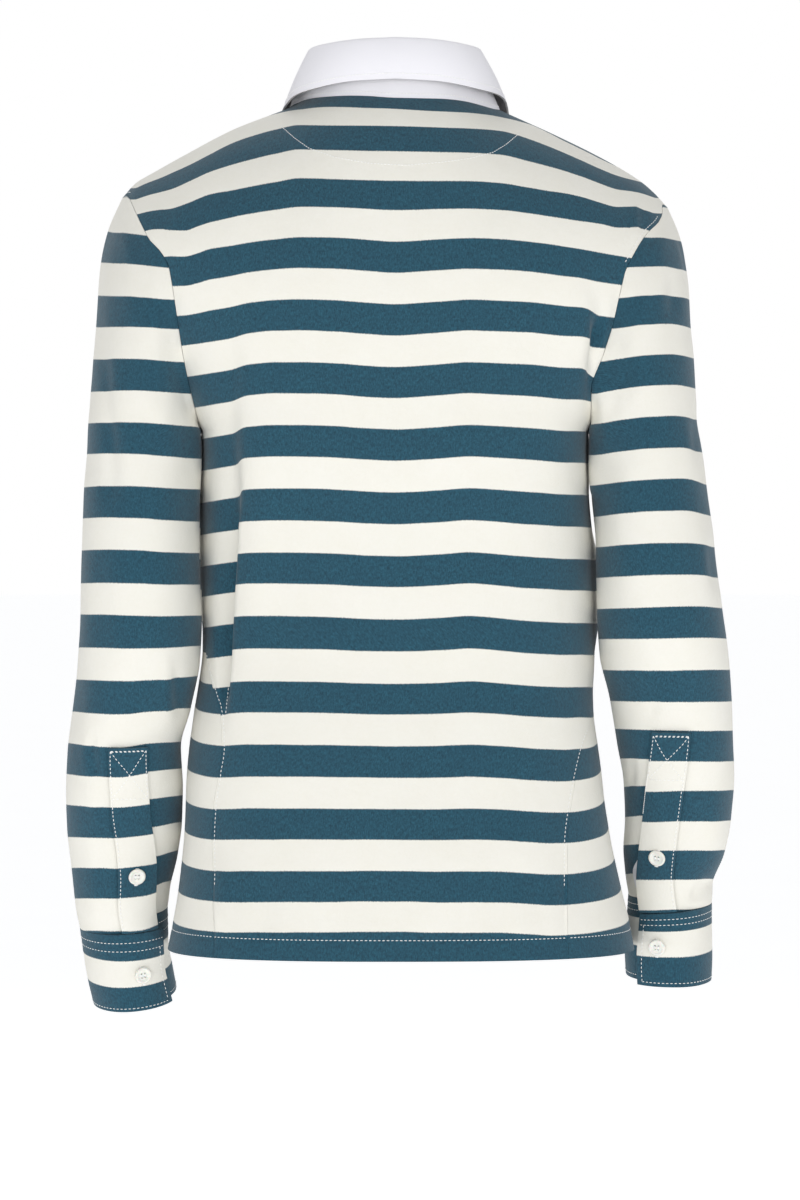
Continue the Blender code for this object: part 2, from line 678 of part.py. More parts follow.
def walled(mesh, thickness, outward):
    """Gives a sheet its wall: a second layer, inwards along the surface, or along a seam's own direction."""
    mesh.normal_update()
    rim, deep = mesh.verts.layers.float_vector["rim"], mesh.verts.layers.float["deep"]
    mesh.faces.ensure_lookup_table()
    face = mesh.faces[len(mesh.faces) // 2]
    if face.normal.dot(outward(face.calc_center_median())) < 0:
        bmesh.ops.reverse_faces(mesh, faces=mesh.faces[:])
        mesh.normal_update()
    for vert in mesh.verts:
        shared = Vector(vert[rim])
        out = (shared + vert.normal * (1 - min(1, shared.length))).normalized()
        vert[rim] = out * -thickness * vert[deep]
    second = bmesh.ops.extrude_face_region(mesh, geom=mesh.faces[:])["geom"]
    for vert in second:
        if isinstance(vert, bmesh.types.BMVert):
            vert.co = vert.co + Vector(vert[rim])
    bmesh.ops.recalc_face_normals(mesh, faces=mesh.faces[:])


def finish(name, mesh, material):
    """Makes the object in metres, with its own material."""
    bmesh.ops.scale(mesh, vec=(MM, MM, MM), verts=mesh.verts[:])
    data = bpy.data.meshes.new(name)
    mesh.to_mesh(data)
    mesh.free()
    data.shade_smooth()
    data.set_sharp_from_angle(angle=math.radians(50))
    data.materials.append(material)
    thing = bpy.data.objects.new(name, data)
    bpy.context.collection.objects.link(thing)
    return thing


def cloth_material(name, colour, roughness):
    material = bpy.data.materials.new(name)
    material.use_nodes = True
    shader = material.node_tree.nodes["Principled BSDF"]
    shader.inputs["Base Color"].default_value = (*colour, 1)
    shader.inputs["Roughness"].default_value = roughness
    shader.inputs["Metallic"].default_value = 0
    return material


def sheet(name, points, thickness, outward, colour, rims=None, deeper=None, weld=False):
    mesh = grid_of(points)
    set_rims(mesh, rims or {}, deeper or {})
    if weld:
        bmesh.ops.remove_doubles(mesh, verts=mesh.verts[:], dist=0.01)
    walled(mesh, thickness, outward)
    return finish(name, mesh, cloth_material(name, colour, 0.9))


# ---- Pieces ----

NAVY, CREAM, WHITE, BUTTON = (0.035, 0.095, 0.15), (0.89, 0.88, 0.82), (0.87, 0.86, 0.89), (0.86, 0.85, 0.78)


def side_rim(point):
    """The way out of the cloth at a side seam."""
    return Vector((point.x / 160**2, point.y / 112**2, 0)).normalized()


def body_panel(name, cloth, rows):
    rims = {}
    last_row, last_column = len(rows) - 1, len(rows[0]) - 1
    first_yoke = last_row - YOKE_STEPS
    way = 1 if cloth == "back" else -1
    for r, row in enumerate(rows):
        ends = ((0, "left"), (last_column, "right")) if cloth == "back" else ((0, "right"), (last_column, "left"))
        for c, side in ends:
            if r <= first_yoke:
                rims[r, c] = side_rim(row[c])
            else:
                degrees = 180 - 180 * (r - first_yoke) / YOKE_STEPS
                rims[r, c] = armhole_out(side, degrees * way)
    for c, point in enumerate(rows[-1]):
        if 0 < c < last_column:
            if abs(point.x) > NECK_HALF + 1:
                slope = (ridge(point.x + 2) - ridge(point.x - 2)) / 4
                rims[last_row, c] = Vector((-slope, 0, 1)).normalized()
            else:
                rims[last_row, c] = neck_out(point)
    deeper = {r: TURNED / JERSEY for r in range(2)}
    return sheet(name, rows, JERSEY, lambda p: Vector((0, way, 0)), NAVY, rims, deeper)


def sleeve(side):
    rows = sleeve_rows(side)
    columns = 2 * YOKE_STEPS
    rims = {(0, k): armhole_out(side, SLIT_ANGLE + 360 * k / columns) for k in range(columns + 1)}
    middle = sleeve_middle(side)
    return sheet(side + "_sleeve", rows, JERSEY, middle, NAVY, rims, {}, weld=True)


def sleeve_middle(side):
    """The way out from a sleeve's middle line, for telling its outside from its inside."""
    way = 1 if side == "left" else -1

    def outward(point):
        z = clamp(point.z, SLEEVES[side][-1].out_z, SLEEVES[side][6].in_z)
        near = min(SLEEVES[side], key=lambda s: abs((s.out_z + s.in_z) / 2 - z))
        return point - Vector((way * (near.out_x + near.in_x) / 2, near.y, point.z))

    return outward


def cuff(side):
    """A band that goes once round the wrist and over its own end."""
    turn = (360 + CUFF_OVERLAP) / CUFF_COLUMNS
    rows = [[cuff_point(side, k, turn * c) for c in range(CUFF_COLUMNS + 1)] for k in range(4)]
    return sheet(side + "_cuff", rows, JERSEY, sleeve_middle(side), NAVY)


PLACKET_HEIGHT = UNDERLAP_WALL + 3 * SEAM + JERSEY  # its outside, above the sleeve


def sleeve_placket(side):
    first, last = PLACKET_TOP[side], PLACKET[-1].section
    places = [first + (last - first) * k / 10 for k in range(11)]
    half = PLACKET_WIDTH / 2
    rows = laid_rows(side, places, lambda place: (-half, half), PLACKET_HEIGHT, 6, under=False)
    return sheet(side + "_sleeve_placket", rows, JERSEY, lambda p: Vector((0, 1, 0)), NAVY)


def underlap(side):
    places = [row.section for row in UNDERLAP]
    places = [a + (b - a) * k / 2 for a, b in zip(places, places[1:]) for k in range(2)] + places[-1:]

    def edges(place):
        return tuple(read(UNDERLAP, "section", side + end, place) for end in ("_from", "_to"))

    rows = laid_rows(side, places, edges, UNDERLAP_WALL + 2 * SEAM, 3, under=True)
    return sheet(side + "_underlap", rows, UNDERLAP_WALL, lambda p: Vector((0, 1, 0)), WHITE)


def button(name, at, out):
    """A round button with four eyes, its back at a point and its face outwards."""
    mesh = bmesh.new()
    radius = BUTTON_ACROSS / 2
    profile = (
        (0, 0), (radius - 1.2, 0), (radius, 0.9), (radius, BUTTON_THICK - 0.7), (radius - 0.7, BUTTON_THICK),
        (radius - 1.8, BUTTON_THICK), (radius - 2.6, BUTTON_THICK - 0.7), (0, BUTTON_THICK - 0.7),
    )
    line = [mesh.verts.new((x, 0, z)) for x, z in profile]
    edges = [mesh.edges.new(pair) for pair in zip(line, line[1:])]
    bmesh.ops.spin(
        mesh, geom=line + edges, cent=(0, 0, 0), axis=(0, 0, 1), angle=math.tau, steps=14, use_merge=True
    )
    bmesh.ops.remove_doubles(mesh, verts=mesh.verts[:], dist=0.001)
    bmesh.ops.recalc_face_normals(mesh, faces=mesh.faces[:])
    turn = out.to_track_quat("Z", "Y").to_matrix().to_4x4()
    mesh.transform(Matrix.Translation(at) @ turn)
    return finish(name, mesh, cloth_material(name, BUTTON, 0.4))


def sleeve_buttons(side):
    """One button on the placket and one on the cuff."""
    place = SLEEVE_BUTTONS[side].placket_section
    middle = read(PLACKET, "section", side, place)
    out = sleeve_out(side, place, middle, under=False)
    at = sleeve_point(side, place, middle, under=False) + out * (PLACKET_HEIGHT + SEAM)
    button(side + "_sleeve_button", at, out)
    place, turned = SLEEVE_BUTTONS[side].cuff_section, CUFF_END - SLEEVE_BUTTONS[side].cuff_angle
    at = cuff_point(side, place, turned)
    round_it = cuff_point(side, place, turned + 2) - cuff_point(side, place, turned - 2)
    down_it = cuff_point(side, place + 0.1, turned) - cuff_point(side, place - 0.1, turned)
    out = round_it.cross(down_it).normalized()
    out = out if out.y > 0 else -out
    button(side + "_cuff_button", at + out * SEAM * 2, out)


def front_placket(rows_front):
    """A strip down the front from the neck, made from the panel's own points, moved out."""
    middle = len(rows_front[0]) // 2
    panel = rows_front[-1 - YOKE_STEPS + FRONT_PLACKET_FOOT :]
    panel[-1] = [low.lerp(high, 0.6) for low, high in zip(panel[-2], panel[-1])]
    half = FRONT_PLACKET_WIDTH / 2
    rows = []
    for row in panel:
        line = []
        for x in (-half, -half / 2, 0, half / 2, half):
            side = row[middle + 1] if x * (row[middle + 1].x - row[middle].x) > 0 else row[middle - 1]
            share = (x - row[middle].x) / (side.x - row[middle].x)
            line.append(row[middle].lerp(side, share))
        rows.append(line)
    ups = []
    for k in range(len(rows)):
        slope = rows[min(k + 1, len(rows) - 1)][2] - rows[max(k - 1, 0)][2]
        out = Vector((1, 0, 0)).cross(slope).normalized()
        ups.append(out if out.y < 0 else -out)
    rows = [[point + up * (LAID + TWILL) for point in line] for line, up in zip(rows, ups)]
    return sheet("front_placket", rows, TWILL, lambda p: Vector((0, -1, 0)), WHITE)


def front_buttons():
    for number, z in enumerate(FRONT_BUTTON_Z, start=1):
        at = yoke_point(0, z, "front")
        slope = yoke_point(0, z + 4, "front") - yoke_point(0, z - 4, "front")
        out = Vector((1, 0, 0)).cross(slope).normalized()
        out = out if out.y < 0 else -out
        button(f"front_button_{number}", at + out * (LAID + TWILL + SEAM + 0.3), out)


def collar(rows_back, rows_front):
    seam = neck_seam(rows_back, rows_front)
    stand, fall = collar_rows(seam)
    rims = {(0, c): neck_out(point) for c, point in enumerate(seam)}
    outward = lambda p: Vector((p.x, p.y + 10, 0.1))
    sheet("collar_stand", stand, TWILL, outward, WHITE, rims)
    sheet("collar_fall", fall, TWILL, outward, WHITE)


def main():
    for thing in list(bpy.data.objects):
        bpy.data.objects.remove(thing, do_unlink=True)
    rows_back, rows_front = body_rows("back"), body_rows("front")
    body_panel("back_panel", "back", rows_back)
    body_panel("front_panel", "front", rows_front)
    collar(rows_back, rows_front)
    for side in ("left", "right"):
        sleeve(side)
        cuff(side)
        sleeve_placket(side)
        underlap(side)
        sleeve_buttons(side)
    front_placket(rows_front)
    front_buttons()


main()
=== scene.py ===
"""Rugby shirt, worn: striped jersey panels and sleeves with their folds, seams and stitching, a white twill collar,
plackets, cuffs and four-hole buttons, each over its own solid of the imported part.
+Z is up, the front faces -Y and +X is the wearer's left. Lengths in the tables and functions are millimetres; the
meshes are metres.
"""

import math
from bisect import bisect_right
from collections import namedtuple
from functools import lru_cache
from itertools import accumulate, product

import bmesh
import bpy
from mathutils import Matrix, Vector, noise
from mathutils.bvhtree import BVHTree


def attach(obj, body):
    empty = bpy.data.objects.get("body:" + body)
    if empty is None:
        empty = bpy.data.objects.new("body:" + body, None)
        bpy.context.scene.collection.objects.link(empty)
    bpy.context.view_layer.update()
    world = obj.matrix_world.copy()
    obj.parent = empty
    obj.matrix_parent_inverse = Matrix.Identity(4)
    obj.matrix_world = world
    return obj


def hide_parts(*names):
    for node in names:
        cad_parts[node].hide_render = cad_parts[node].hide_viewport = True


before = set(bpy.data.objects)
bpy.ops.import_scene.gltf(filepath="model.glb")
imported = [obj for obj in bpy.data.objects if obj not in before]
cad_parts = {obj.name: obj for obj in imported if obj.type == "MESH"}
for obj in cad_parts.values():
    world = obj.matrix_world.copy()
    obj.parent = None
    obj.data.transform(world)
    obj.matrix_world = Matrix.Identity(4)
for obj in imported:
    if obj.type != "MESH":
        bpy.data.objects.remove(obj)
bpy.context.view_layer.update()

bl_info = {
    "name": "Rugby Shirt",
    "version": (1, 0, 0),
    "blender": (4, 5, 0),
    "location": "3D View > Sidebar > Rugby Shirt",
    "description": "Dresses the solids of a worn rugby shirt in striped jersey, twill, buttons and stitching",
    "category": "Object",
}

MM = 0.001
SIDES = ("left", "right")
WAY = {"left": 1, "right": -1}  # along X, for the wearer's two sides


def table(columns, *rows):
    """Rows of numbers in named columns."""
    row = namedtuple("row", columns)
    return tuple(row(*numbers) for numbers in rows)


# ---- The cut, as the solids have it ----

JERSEY = 1.6  # wall of the striped jersey
TURNED = 2.8  # wall where the hem is turned up
TWILL = 1.5  # wall of the woven collar and front placket
SEAM = 0.3  # gap between two pieces that are sewn together
LAID = 0.45  # gap under a piece that lies on another

BODY = table(
    "z left right back front seam_left seam_right power",
    (-695, 186, 196, 119, 113, 145, -139, 2.6), (-673, 182, 192, 118, 113, 145, -138, 2.6),
    (-650, 178, 186, 117, 113, 146, -138, 2.6), (-628, 175, 181, 116, 113, 146, -138, 2.6),
    (-602, 172, 176, 114, 112, 147, -138, 2.6), (-576, 171, 172, 111, 112, 146, -141, 2.6),
    (-550, 170, 169, 109, 111, 142, -146, 2.6), (-526, 168, 166, 107, 110, 139, -152, 2.6),
    (-504, 165, 163, 105, 109, 140, -160, 2.6), (-480, 161, 162, 103, 108, 147, -162, 2.6),
    (-456, 157, 162, 102, 107, 153, -162, 2.6), (-430, 155, 162, 102, 107, 155, -162, 2.65),
    (-395, 154, 161, 103, 107, 154, -161, 2.7), (-355, 154, 159, 105, 108, 154, -159, 2.8),
    (-318, 155, 157, 109, 110, 155, -157, 2.95), (-288, 156, 156, 112, 112, 156, -156, 3.05),
)
FRONT_ROUNDER = 0.3  # the front's superellipse power is this much less than the back's
CHEST_Z = -272  # where the armholes start

YOKE = table(
    "rise back_left back_right front half power",
    (0, 157, 157, 157, 157, 3.1), (0.017, 158.5, 158.2, 158.2, 159.2, 3.05), (0.067, 161, 158, 158.5, 166, 2.85),
    (0.146, 165, 157.5, 158, 178, 2.65), (0.25, 169.5, 162, 160, 191, 2.6), (0.37, 173.5, 170, 164, 205, 2.6),
    (0.5, 177.5, 177, 169, 219, 2.6), (0.63, 183, 183, 177, 231, 2.6), (0.75, 194, 191, 189, 237, 2.6),
    (0.854, 205, 201, 201, 239, 2.6), (0.933, 212.5, 210, 211, 239, 2.6), (0.983, 219, 217.5, 218.5, 239, 2.6),
    (1, 223, 223, 223, 239, 2.6),
)
YOKE_DEPTH = table(
    "z back front",
    (-290, 112, 112), (-250, 114, 113), (-200, 117, 113), (-145, 119, 112), (-60, 119, 110), (60, 119, 108),
)
SHOULDER = table(
    "across left right",
    (0, 26, 26), (30, 22, 22), (60, 9, 8), (87, -7, -9), (100, -12, -15), (131, -24, -29), (175, -47, -51),
    (200, -61, -66), (212, -68, -76), (223, -80, -88),
)
RIDGE_Y = -5
BACK_ROLL, FRONT_ROLL = (4.0, 0.625), (2.2, 0.75)  # how each side rounds over to the ridge
NECK_HALF = 87
NECK_BACK_RISE = 5
NECK_DROP = 73

SECTION = "out_x out_z in_x in_z y depth tilt"
SleeveSection = namedtuple("SleeveSection", SECTION)
SLEEVES = {
    "left": table(
        SECTION,
        (223, -80, 157, -272, -2, 76, 0), (235, -107, 160.5, -276, 0, 77, 0), (241, -133, 161, -285, 3, 77, 0),
        (243, -161, 161, -293, 6, 76, 0), (244, -188, 161, -302, 9, 75, 0), (246, -215, 161, -311, 12, 73, 0),
        (248, -241, 161, -321, 15, 71, 0), (250, -267, 160.5, -333, 18, 69, 0), (251, -292, 160, -346, 21, 67, 0),
        (253, -320, 160, -362, 24, 65, 0), (254, -352, 160, -381, 27, 63, 0), (255, -386, 159, -404, 29, 61, 0),
        (255.5, -421, 158, -429, 29, 59, 0), (258, -458, 159, -459, 26, 57, 1), (262.5, -497, 167, -497, 19, 54, 2),
        (267.5, -533, 175.5, -531, 9, 52, 3), (270, -566, 174, -566, -2, 50, 4),
        (270.5, -596, 175, -595, -12, 48, 5), (268, -625, 179, -624, -21, 46, 6),
        (265, -657, 186.5, -657, -30, 43, 6), (261.5, -680.5, 188.5, -676.5, -35.5, 40.6, 5),
    ),
    "right": table(
        SECTION,
        (223, -88, 157, -272, -2, 76, 0), (232, -108, 160.5, -276, 0, 77, 0), (237, -128, 161, -283, 3, 77, 0),
        (240, -156, 161, -291, 6, 76, 0), (241, -185, 160.5, -300, 9, 75, 0), (243.5, -211, 160.5, -308, 12, 73, 0),
        (245, -236, 160.5, -318, 15, 71, 0), (246, -260, 161, -330, 18, 69, 0), (250, -287, 162, -343, 21, 67, 0),
        (253.5, -318, 163.5, -358, 24, 65, 0), (258, -349, 164, -375, 27, 63, 0),
        (262, -382, 164.5, -397, 29, 61, 0), (266.5, -417, 164.5, -423, 29, 59, 0),
        (271.5, -454, 167, -454, 25, 56, 0), (274.5, -490, 175, -488, 17, 53, 0), (277, -528, 181.5, -527, 7, 50, 1),
        (278.5, -557, 187.5, -557, -3, 48, 1), (276.5, -591, 190, -591, -14, 46, 1),
        (271.5, -620, 189, -619, -25, 44, 2), (263.5, -644, 191, -644, -34, 42, 2),
        (263, -661, 194, -667, -40, 41, 2),
    ),
}
CUFFS = {
    "left": table(
        SECTION,
        (261.5, -680.8, 188.5, -676.8, -35.5, 40.6, 5), (258, -708, 188, -706, -41, 40, 7),
        (254.5, -728, 185, -723, -45, 40, 8), (251, -744, 182, -737, -48, 40, 8),
    ),
    "right": table(
        SECTION,
        (263, -661.3, 194, -667.3, -40, 41, 2), (263.5, -685, 192.5, -687, -44, 41, 2),
        (264, -707, 191.5, -707, -48, 41, 3), (263.5, -726, 192.5, -725, -50, 41, 3),
    ),
}
CUFF_END = {"left": 150, "right": 136}  # the angle where each cuff's lap ends
CUFF_UNDER = 106  # and where it starts under the lap
CUFF_LIFT = 2.8
WRIST_RAISE = 12
SLEEVE_POWER = 2.15
ARMHOLE_FADE = 7
ARMHOLE_AXIS = Vector((0.945, 0, -0.325))
SLIT_ANGLE = 105
SLIT_FROM, SLIT_WIDTH = 17.0, 1.6

PLACKET = table(
    "section left right",
    (14.7, 97, 96), (16.3, 99, 109), (17.3, 104, 113), (18.2, 108, 113), (19.95, 115, 111),
)
PLACKET_TOP = {"left": 14.78, "right": 14.64}
PLACKET_WIDTH = 30
UNDERLAP = table(
    "section left_from left_to right_from right_to",
    (17.4, 1, 10, -4, 10), (18, -1, 11, -4, 13), (18.8, -4, 11, -4, 21), (19.5, -5, 11, -3, 19),
)
UNDERLAP_WALL = 1.0
PLACKET_HEIGHT = UNDERLAP_WALL + 3 * SEAM + JERSEY  # the placket's outside, above the sleeve

FOLD = "z across proud sunk"
BACK_FOLDS = {
    "left": table(
        FOLD,
        (-695, 124, 0, 0), (-560, 134, 0, 0), (-520, 136, 0.4, 0.3), (-506, 135.3, 1.4, 2.4),
        (-481, 132.8, 3.2, 4.5), (-455, 130.5, 4.5, 7), (-427, 129, 5, 8.5), (-403, 127.3, 5, 8.2),
        (-374, 125, 4.5, 6.6), (-350, 124.2, 4, 5), (-325, 123.7, 3.5, 3.5), (-278, 123.4, 2.6, 2.4),
        (-222, 122, 1.4, 1.2), (-160, 121, 0, 0), (0, 121, 0, 0),
    ),
    "right": table(
        FOLD,
        (-695, 118, 0, 0), (-400, 134, 0, 0), (-300, 148, 0, 0), (-265, 151, 1, 0.6), (-244, 153, 3, 2.4),
        (-220, 153.5, 4, 3.5), (-196, 156, 3.5, 4), (-178, 155, 2, 2), (-150, 149, 0.5, 0), (-110, 138, 0, 0),
        (0, 125, 0, 0),
    ),
}
CREASE_GAP = 5

COLLAR = table(
    "share fold_x fold_y fold_z edge_x edge_y edge_z swell",
    (0, 3, -77, -58, 46, -101, -122, 3), (0.1, 21, -74, -54, 66, -98, -106, 3), (0.2, 38, -65, -44, 82, -88, -86, 3),
    (0.32, 54, -49, -20, 92, -66, -57, 3), (0.43, 64.5, -28, 9, 95, -36, -25, 2.5),
    (0.53, 70, -6, 29, 92, -7, -4, 1.2), (0.66, 67, 20, 36, 86, 21, 0.5, 1.2),
    (0.8, 52, 41, 38.5, 67, 46.5, 3.6, 1.6), (0.91, 26, 53, 41, 34, 60.5, 8.6, 2),
    (1, 0, 56, 42, 0, 64.3, 10.2, 2.5),
)

FRONT_PLACKET_WIDTH, FRONT_PLACKET_FOOT_Z = 32, -241
FRONT_BUTTON_Z = (-100, -150, -200)
BUTTON_ACROSS, BUTTON_THICK = 14, 2.6
SleeveButtons = namedtuple("SleeveButtons", "placket_section cuff_section cuff_angle")
SLEEVE_BUTTONS = {"left": SleeveButtons(18.1, 1.2, 112), "right": SleeveButtons(17.9, 1.3, 107)}

# ---- What the scene adds to the cut ----

# The eye, 3.5 m behind the wearer: the stripes and creases are placed as it sees them.
EYE_Y, EYE_Z = 3500, -344.4


def edge_number(half):
    """The stripe number of an edge, counted by halves: a navy stripe ends at 0.49 and the next starts at 1."""
    return round(half / 2 - 0.01 * (half % 2), 2)


# The height of each edge of the stripes down the middle of the back, from the hem up.
BACK_STRIPES = table(
    "z number",
    *((z, edge_number(32 - k)) for k, z in enumerate((
        -724, -707, -682.2, -656.8, -632.2, -606, -581.4, -555.1, -529.7, -503.1, -478.5, -451.4, -425.6, -398.5,
        -373.7, -346.9, -321.4, -294.9, -269.8, -243.5, -218.7, -192.3, -167.3, -141, -116.1, -89.8, -66.4, -41.8,
        -21.7, -7.4, 3.5, 18, 44,
    ))),
)
# How far the stripes hang below their middle, across the back from the wearer's right to the left, at eight stripes.
SAG_AT = {
    "first": 1.49, "second": 2, "third": 3, "low_third": 3.49, "fourth": 4, "fifth": 5.5, "tenth": 10, "last": 14.5,
}
BACK_SAG = table(
    "across " + " ".join(SAG_AT),
    (-212, 62, 52, 27, 18, 17.5, 6, 5, 3), (-198, 56, 48, 21.6, 14, 14.4, 4.8, 4.5, 2.8),
    (-191, 53, 45.6, 20.8, 14.2, 13, 4.3, 4.2, 2.6), (-182, 49, 42, 21.2, 14, 11.2, 3.9, 4, 2.4),
    (-168, 42, 36, 17.8, 10.9, 9, 3, 3.5, 1.5), (-152, 33.5, 28.5, 13, 9, 6, 0.8, 2.9, 1.2),
    (-139, 27, 22.5, 10, 7, 4, 0.4, 2.8, 2.8), (-127, 20.5, 17.2, 8.2, 5.1, 2, -0.8, 2.2, 3),
    (-110, 12.6, 10.9, 5.3, 2.5, -0.2, -2.5, 1.4, 2), (-86, 6.8, 4.1, 1.6, -0.3, -2.1, -3.3, -1, 0.8),
    (-61, 3.3, 2, 0.4, -1.2, -2.8, -4.1, -2.9, 0.7), (-37, 1.8, 0.9, 0.1, -1, -2, -2.4, -1.3, 0.7),
    (0, 0, 0, 0, 0, 0, 0, 0, 0), (25, -1, -0.3, -0.5, -1.1, -1.7, -1.3, -0.5, 0),
    (50, -2, -0.9, -1.6, -2.5, -3.3, -3.3, -1.8, 0.4), (78, 0.6, -0.9, -2.4, -3.1, -3.8, -4.1, -2.5, 0.4),
    (98, 4.2, 3.4, 1, -0.6, -2.1, -4, -2.9, 0.5), (119, 11, 9.7, 4.9, 2.7, 0.4, -2, -3, 0.5),
    (135, 17, 15.5, 8, 6.3, 3.4, 2, -1.8, 0.5), (152, 26, 24.1, 11, 10.2, 6.2, 4.8, 0.6, -0.2),
    (162, 31, 29.2, 14.8, 13.6, 9.8, 6.4, 2.2, 0), (172, 36.5, 34, 19, 17, 12.2, 7.6, 3.8, 0),
    (183, 42, 39, 22.6, 16.6, 12, 8.9, 5.9, 0), (194, 47.6, 44.8, 23.8, 15.4, 13, 10, 7, 0),
    (201, 51.2, 48.2, 25, 16.4, 14.6, 10.8, 7.4, 0), (212, 57, 54, 28, 19, 17, 12, 8, 0),
)
SOFT_FOLD = 4.5  # a fold that is not tucked under bends over that much more cloth on each side
FOLD_REACH = 42  # how far a fold's proud side runs towards the middle
FOLD_TUCK = 2.5  # how much farther than the gap the cloth is tucked under
# How much lower the stripes run past a fold.
FOLD_DROPS = table(
    "z left right",
    (-600, 0, 0), (-520, 0, 0), (-503, 1.2, 0), (-481, 3.4, 0), (-455, 5, 0), (-430, 5.6, 0), (-403, 6, 0),
    (-374, 6, 0), (-325, 5, 0), (-280, 3.4, 0), (-264, 2.8, 0), (-250, 2, 1), (-238, 1.5, 4.5), (-224, 0.8, 7.5),
    (-196, 0.4, 7), (-178, 0, 4), (-150, 0, 0),
)
STRIPES_LOWER = 0.35  # the back's stripes lie this much lower than their table says
HEM_NUMBER = 15.49  # the stripe number at the front's hem
NAVY_SHARE = 0.502  # of the repeat
REPEAT = 51.9  # the stripes' repeat down the cloth

# The navy stripes down each sleeve: their edges at its outer and inner outline.
SLEEVE_EDGES = {
    "left": (
        (-80, -88), (-108.2, -114.8), (-132.8, -137.8), (-160.7, -165.6), (-186.1, -189.4), (-213.2, -217.3),
        (-239.4, -241.9), (-265.7, -269), (-290.3, -294.4), (-318.2, -319.8), (-342.8, -345.2), (-369, -371.5),
        (-395.2, -396.1), (-421.5, -420.7), (-447.7, -444.4), (-474, -469), (-499.4, -495.3), (-525.6, -525.6),
        (-550.2, -548.6), (-575.6, -572.4), (-601.4, -593.7), (-627.2, -615.8), (-651.8, -638), (-679, -663.4),
        (-706, -691),
    ),
    "right": (
        (-84, -88),
        *((z, z) for z in (
            -112.3, -136.1, -159.9, -182.9, -208.3, -232.9, -259.1, -284.5, -310, -335.4, -362.4, -387.9, -414.9,
            -440.3, -467.4, -492.8, -516.6, -541.2, -565.8, -590.4, -615, -638.8, -664.2, -680.6,
        )),
    ),
}
SLEEVE_STRIPES = {
    side: table("number outer inner", *((edge_number(k), *ends) for k, ends in enumerate(edges, start=1)))
    for side, edges in SLEEVE_EDGES.items()
}

# How far each stripe lies above that straight line, at five places from the outer to the inner outline.
SLEEVE_BOWS = {
    "left": (
        (0, 0, -6, -4, 0), (0, -0.5, -1.5, -3.5, 0), (0, 1, 1.5, 0.7, 0), (0.5, 2, 2.9, 2, 0.5),
        (0.5, 2.2, 2.7, 2, 0.5), (0.5, 2.2, 2.1, 1, 0), (-0.5, 0.6, 0.9, -0.2, 0), (-0.3, -1, -2.4, -2.9, -2.5),
        (-1.4, -3.7, -5.3, -5.3, -3.5), (-1.8, -4.8, -5.6, -1.5, 0), (-2.9, -5, -6.8, -5.2, -1),
        (-3.5, -6, -9.8, -10.2, -5), (-2.5, -6.5, -10.2, -12.8, -9.5),
    ),
    "right": (
        (-4, -1.5, 0, -4, -8), (-4, -1, -0.4, -5, -8), (-5, -0.3, -1, -5, -11), (-4, -0.3, -1.3, -4.2, -9),
        (-3, 0, -0.7, -3.3, -6.5), (-6, -0.5, -1.3, -3.2, -7), (-4, -1, -0.8, -2, -4), (-1.5, 0, -0.7, -1.5, -2.2),
        (0.5, 0, -0.4, 0, 0.5), (-0.8, -1.1, -0.7, 0, 1), (-0.5, -1, -1, -2, -2), (-0.5, -0.8, -0.8, -0.5, 0),
        (0, 0, 0.2, -1, -1),
    ),
}

# Creases, each a soft ridge (height above 0) or trough along a line, bowed sideways in its middle.
CREASE = "x0 z0 x1 z1 bow width height"
BACK_CREASES = table(
    CREASE,
    (205, -100, 196, -132, 2, 4, 1.6), (-197, -84, -197, -116, 0, 2.6, 1.8), (-203, -88, -203, -112, 0, 2.6, -1.4),
    (140, -262, 131, -345, 3, 7, -1.6), (112, -250, 118, -420, 4, 16, 1.6), (-128, -215, -134, -330, -3, 14, 1.4),
    (60, -60, 130, -120, 10, 22, -1), (-70, -64, -138, -128, -10, 22, -1), (140, -622, 150, -690, 2, 9, 1.8),
    (104, -640, 108, -690, 0, 12, -1.4), (-118, -560, -100, -640, -4, 16, 1.5), (-104, -645, -100, -690, 0, 10, 1.4),
    (-160, -640, -168, -690, 0, 9, 1.8), (-144, -610, -142, -690, 0, 9, -1.4), (30, -470, 40, -640, 6, 26, 0.9),
    (-46, -420, -40, -600, -5, 26, -0.9),
)
FRONT_CREASES = table(
    CREASE,
    (150, -140, 96, -250, 12, 12, 2), (-148, -150, -100, -262, -12, 12, 1.8), (160, -200, 118, -300, 10, 9, -1.6),
    (-158, -190, -112, -282, -8, 9, -1.8), (70, -300, 88, -520, 8, 20, 2.2), (-84, -330, -70, -500, -8, 18, 1.8),
    (20, -380, 14, -600, 5, 22, -1.6), (112, -420, 126, -600, 6, 14, -2), (-120, -400, -128, -560, -6, 14, -1.8),
    (-30, -520, -44, -680, -4, 18, 1.5), (60, -560, 52, -690, 4, 16, 1.6), (-110, -580, -96, -690, 5, 13, 1.7),
    (150, -560, 142, -690, 4, 10, 1.9), (44, -120, 74, -190, 6, 13, 1.2), (-48, -118, -80, -200, -6, 13, 1.4),
)
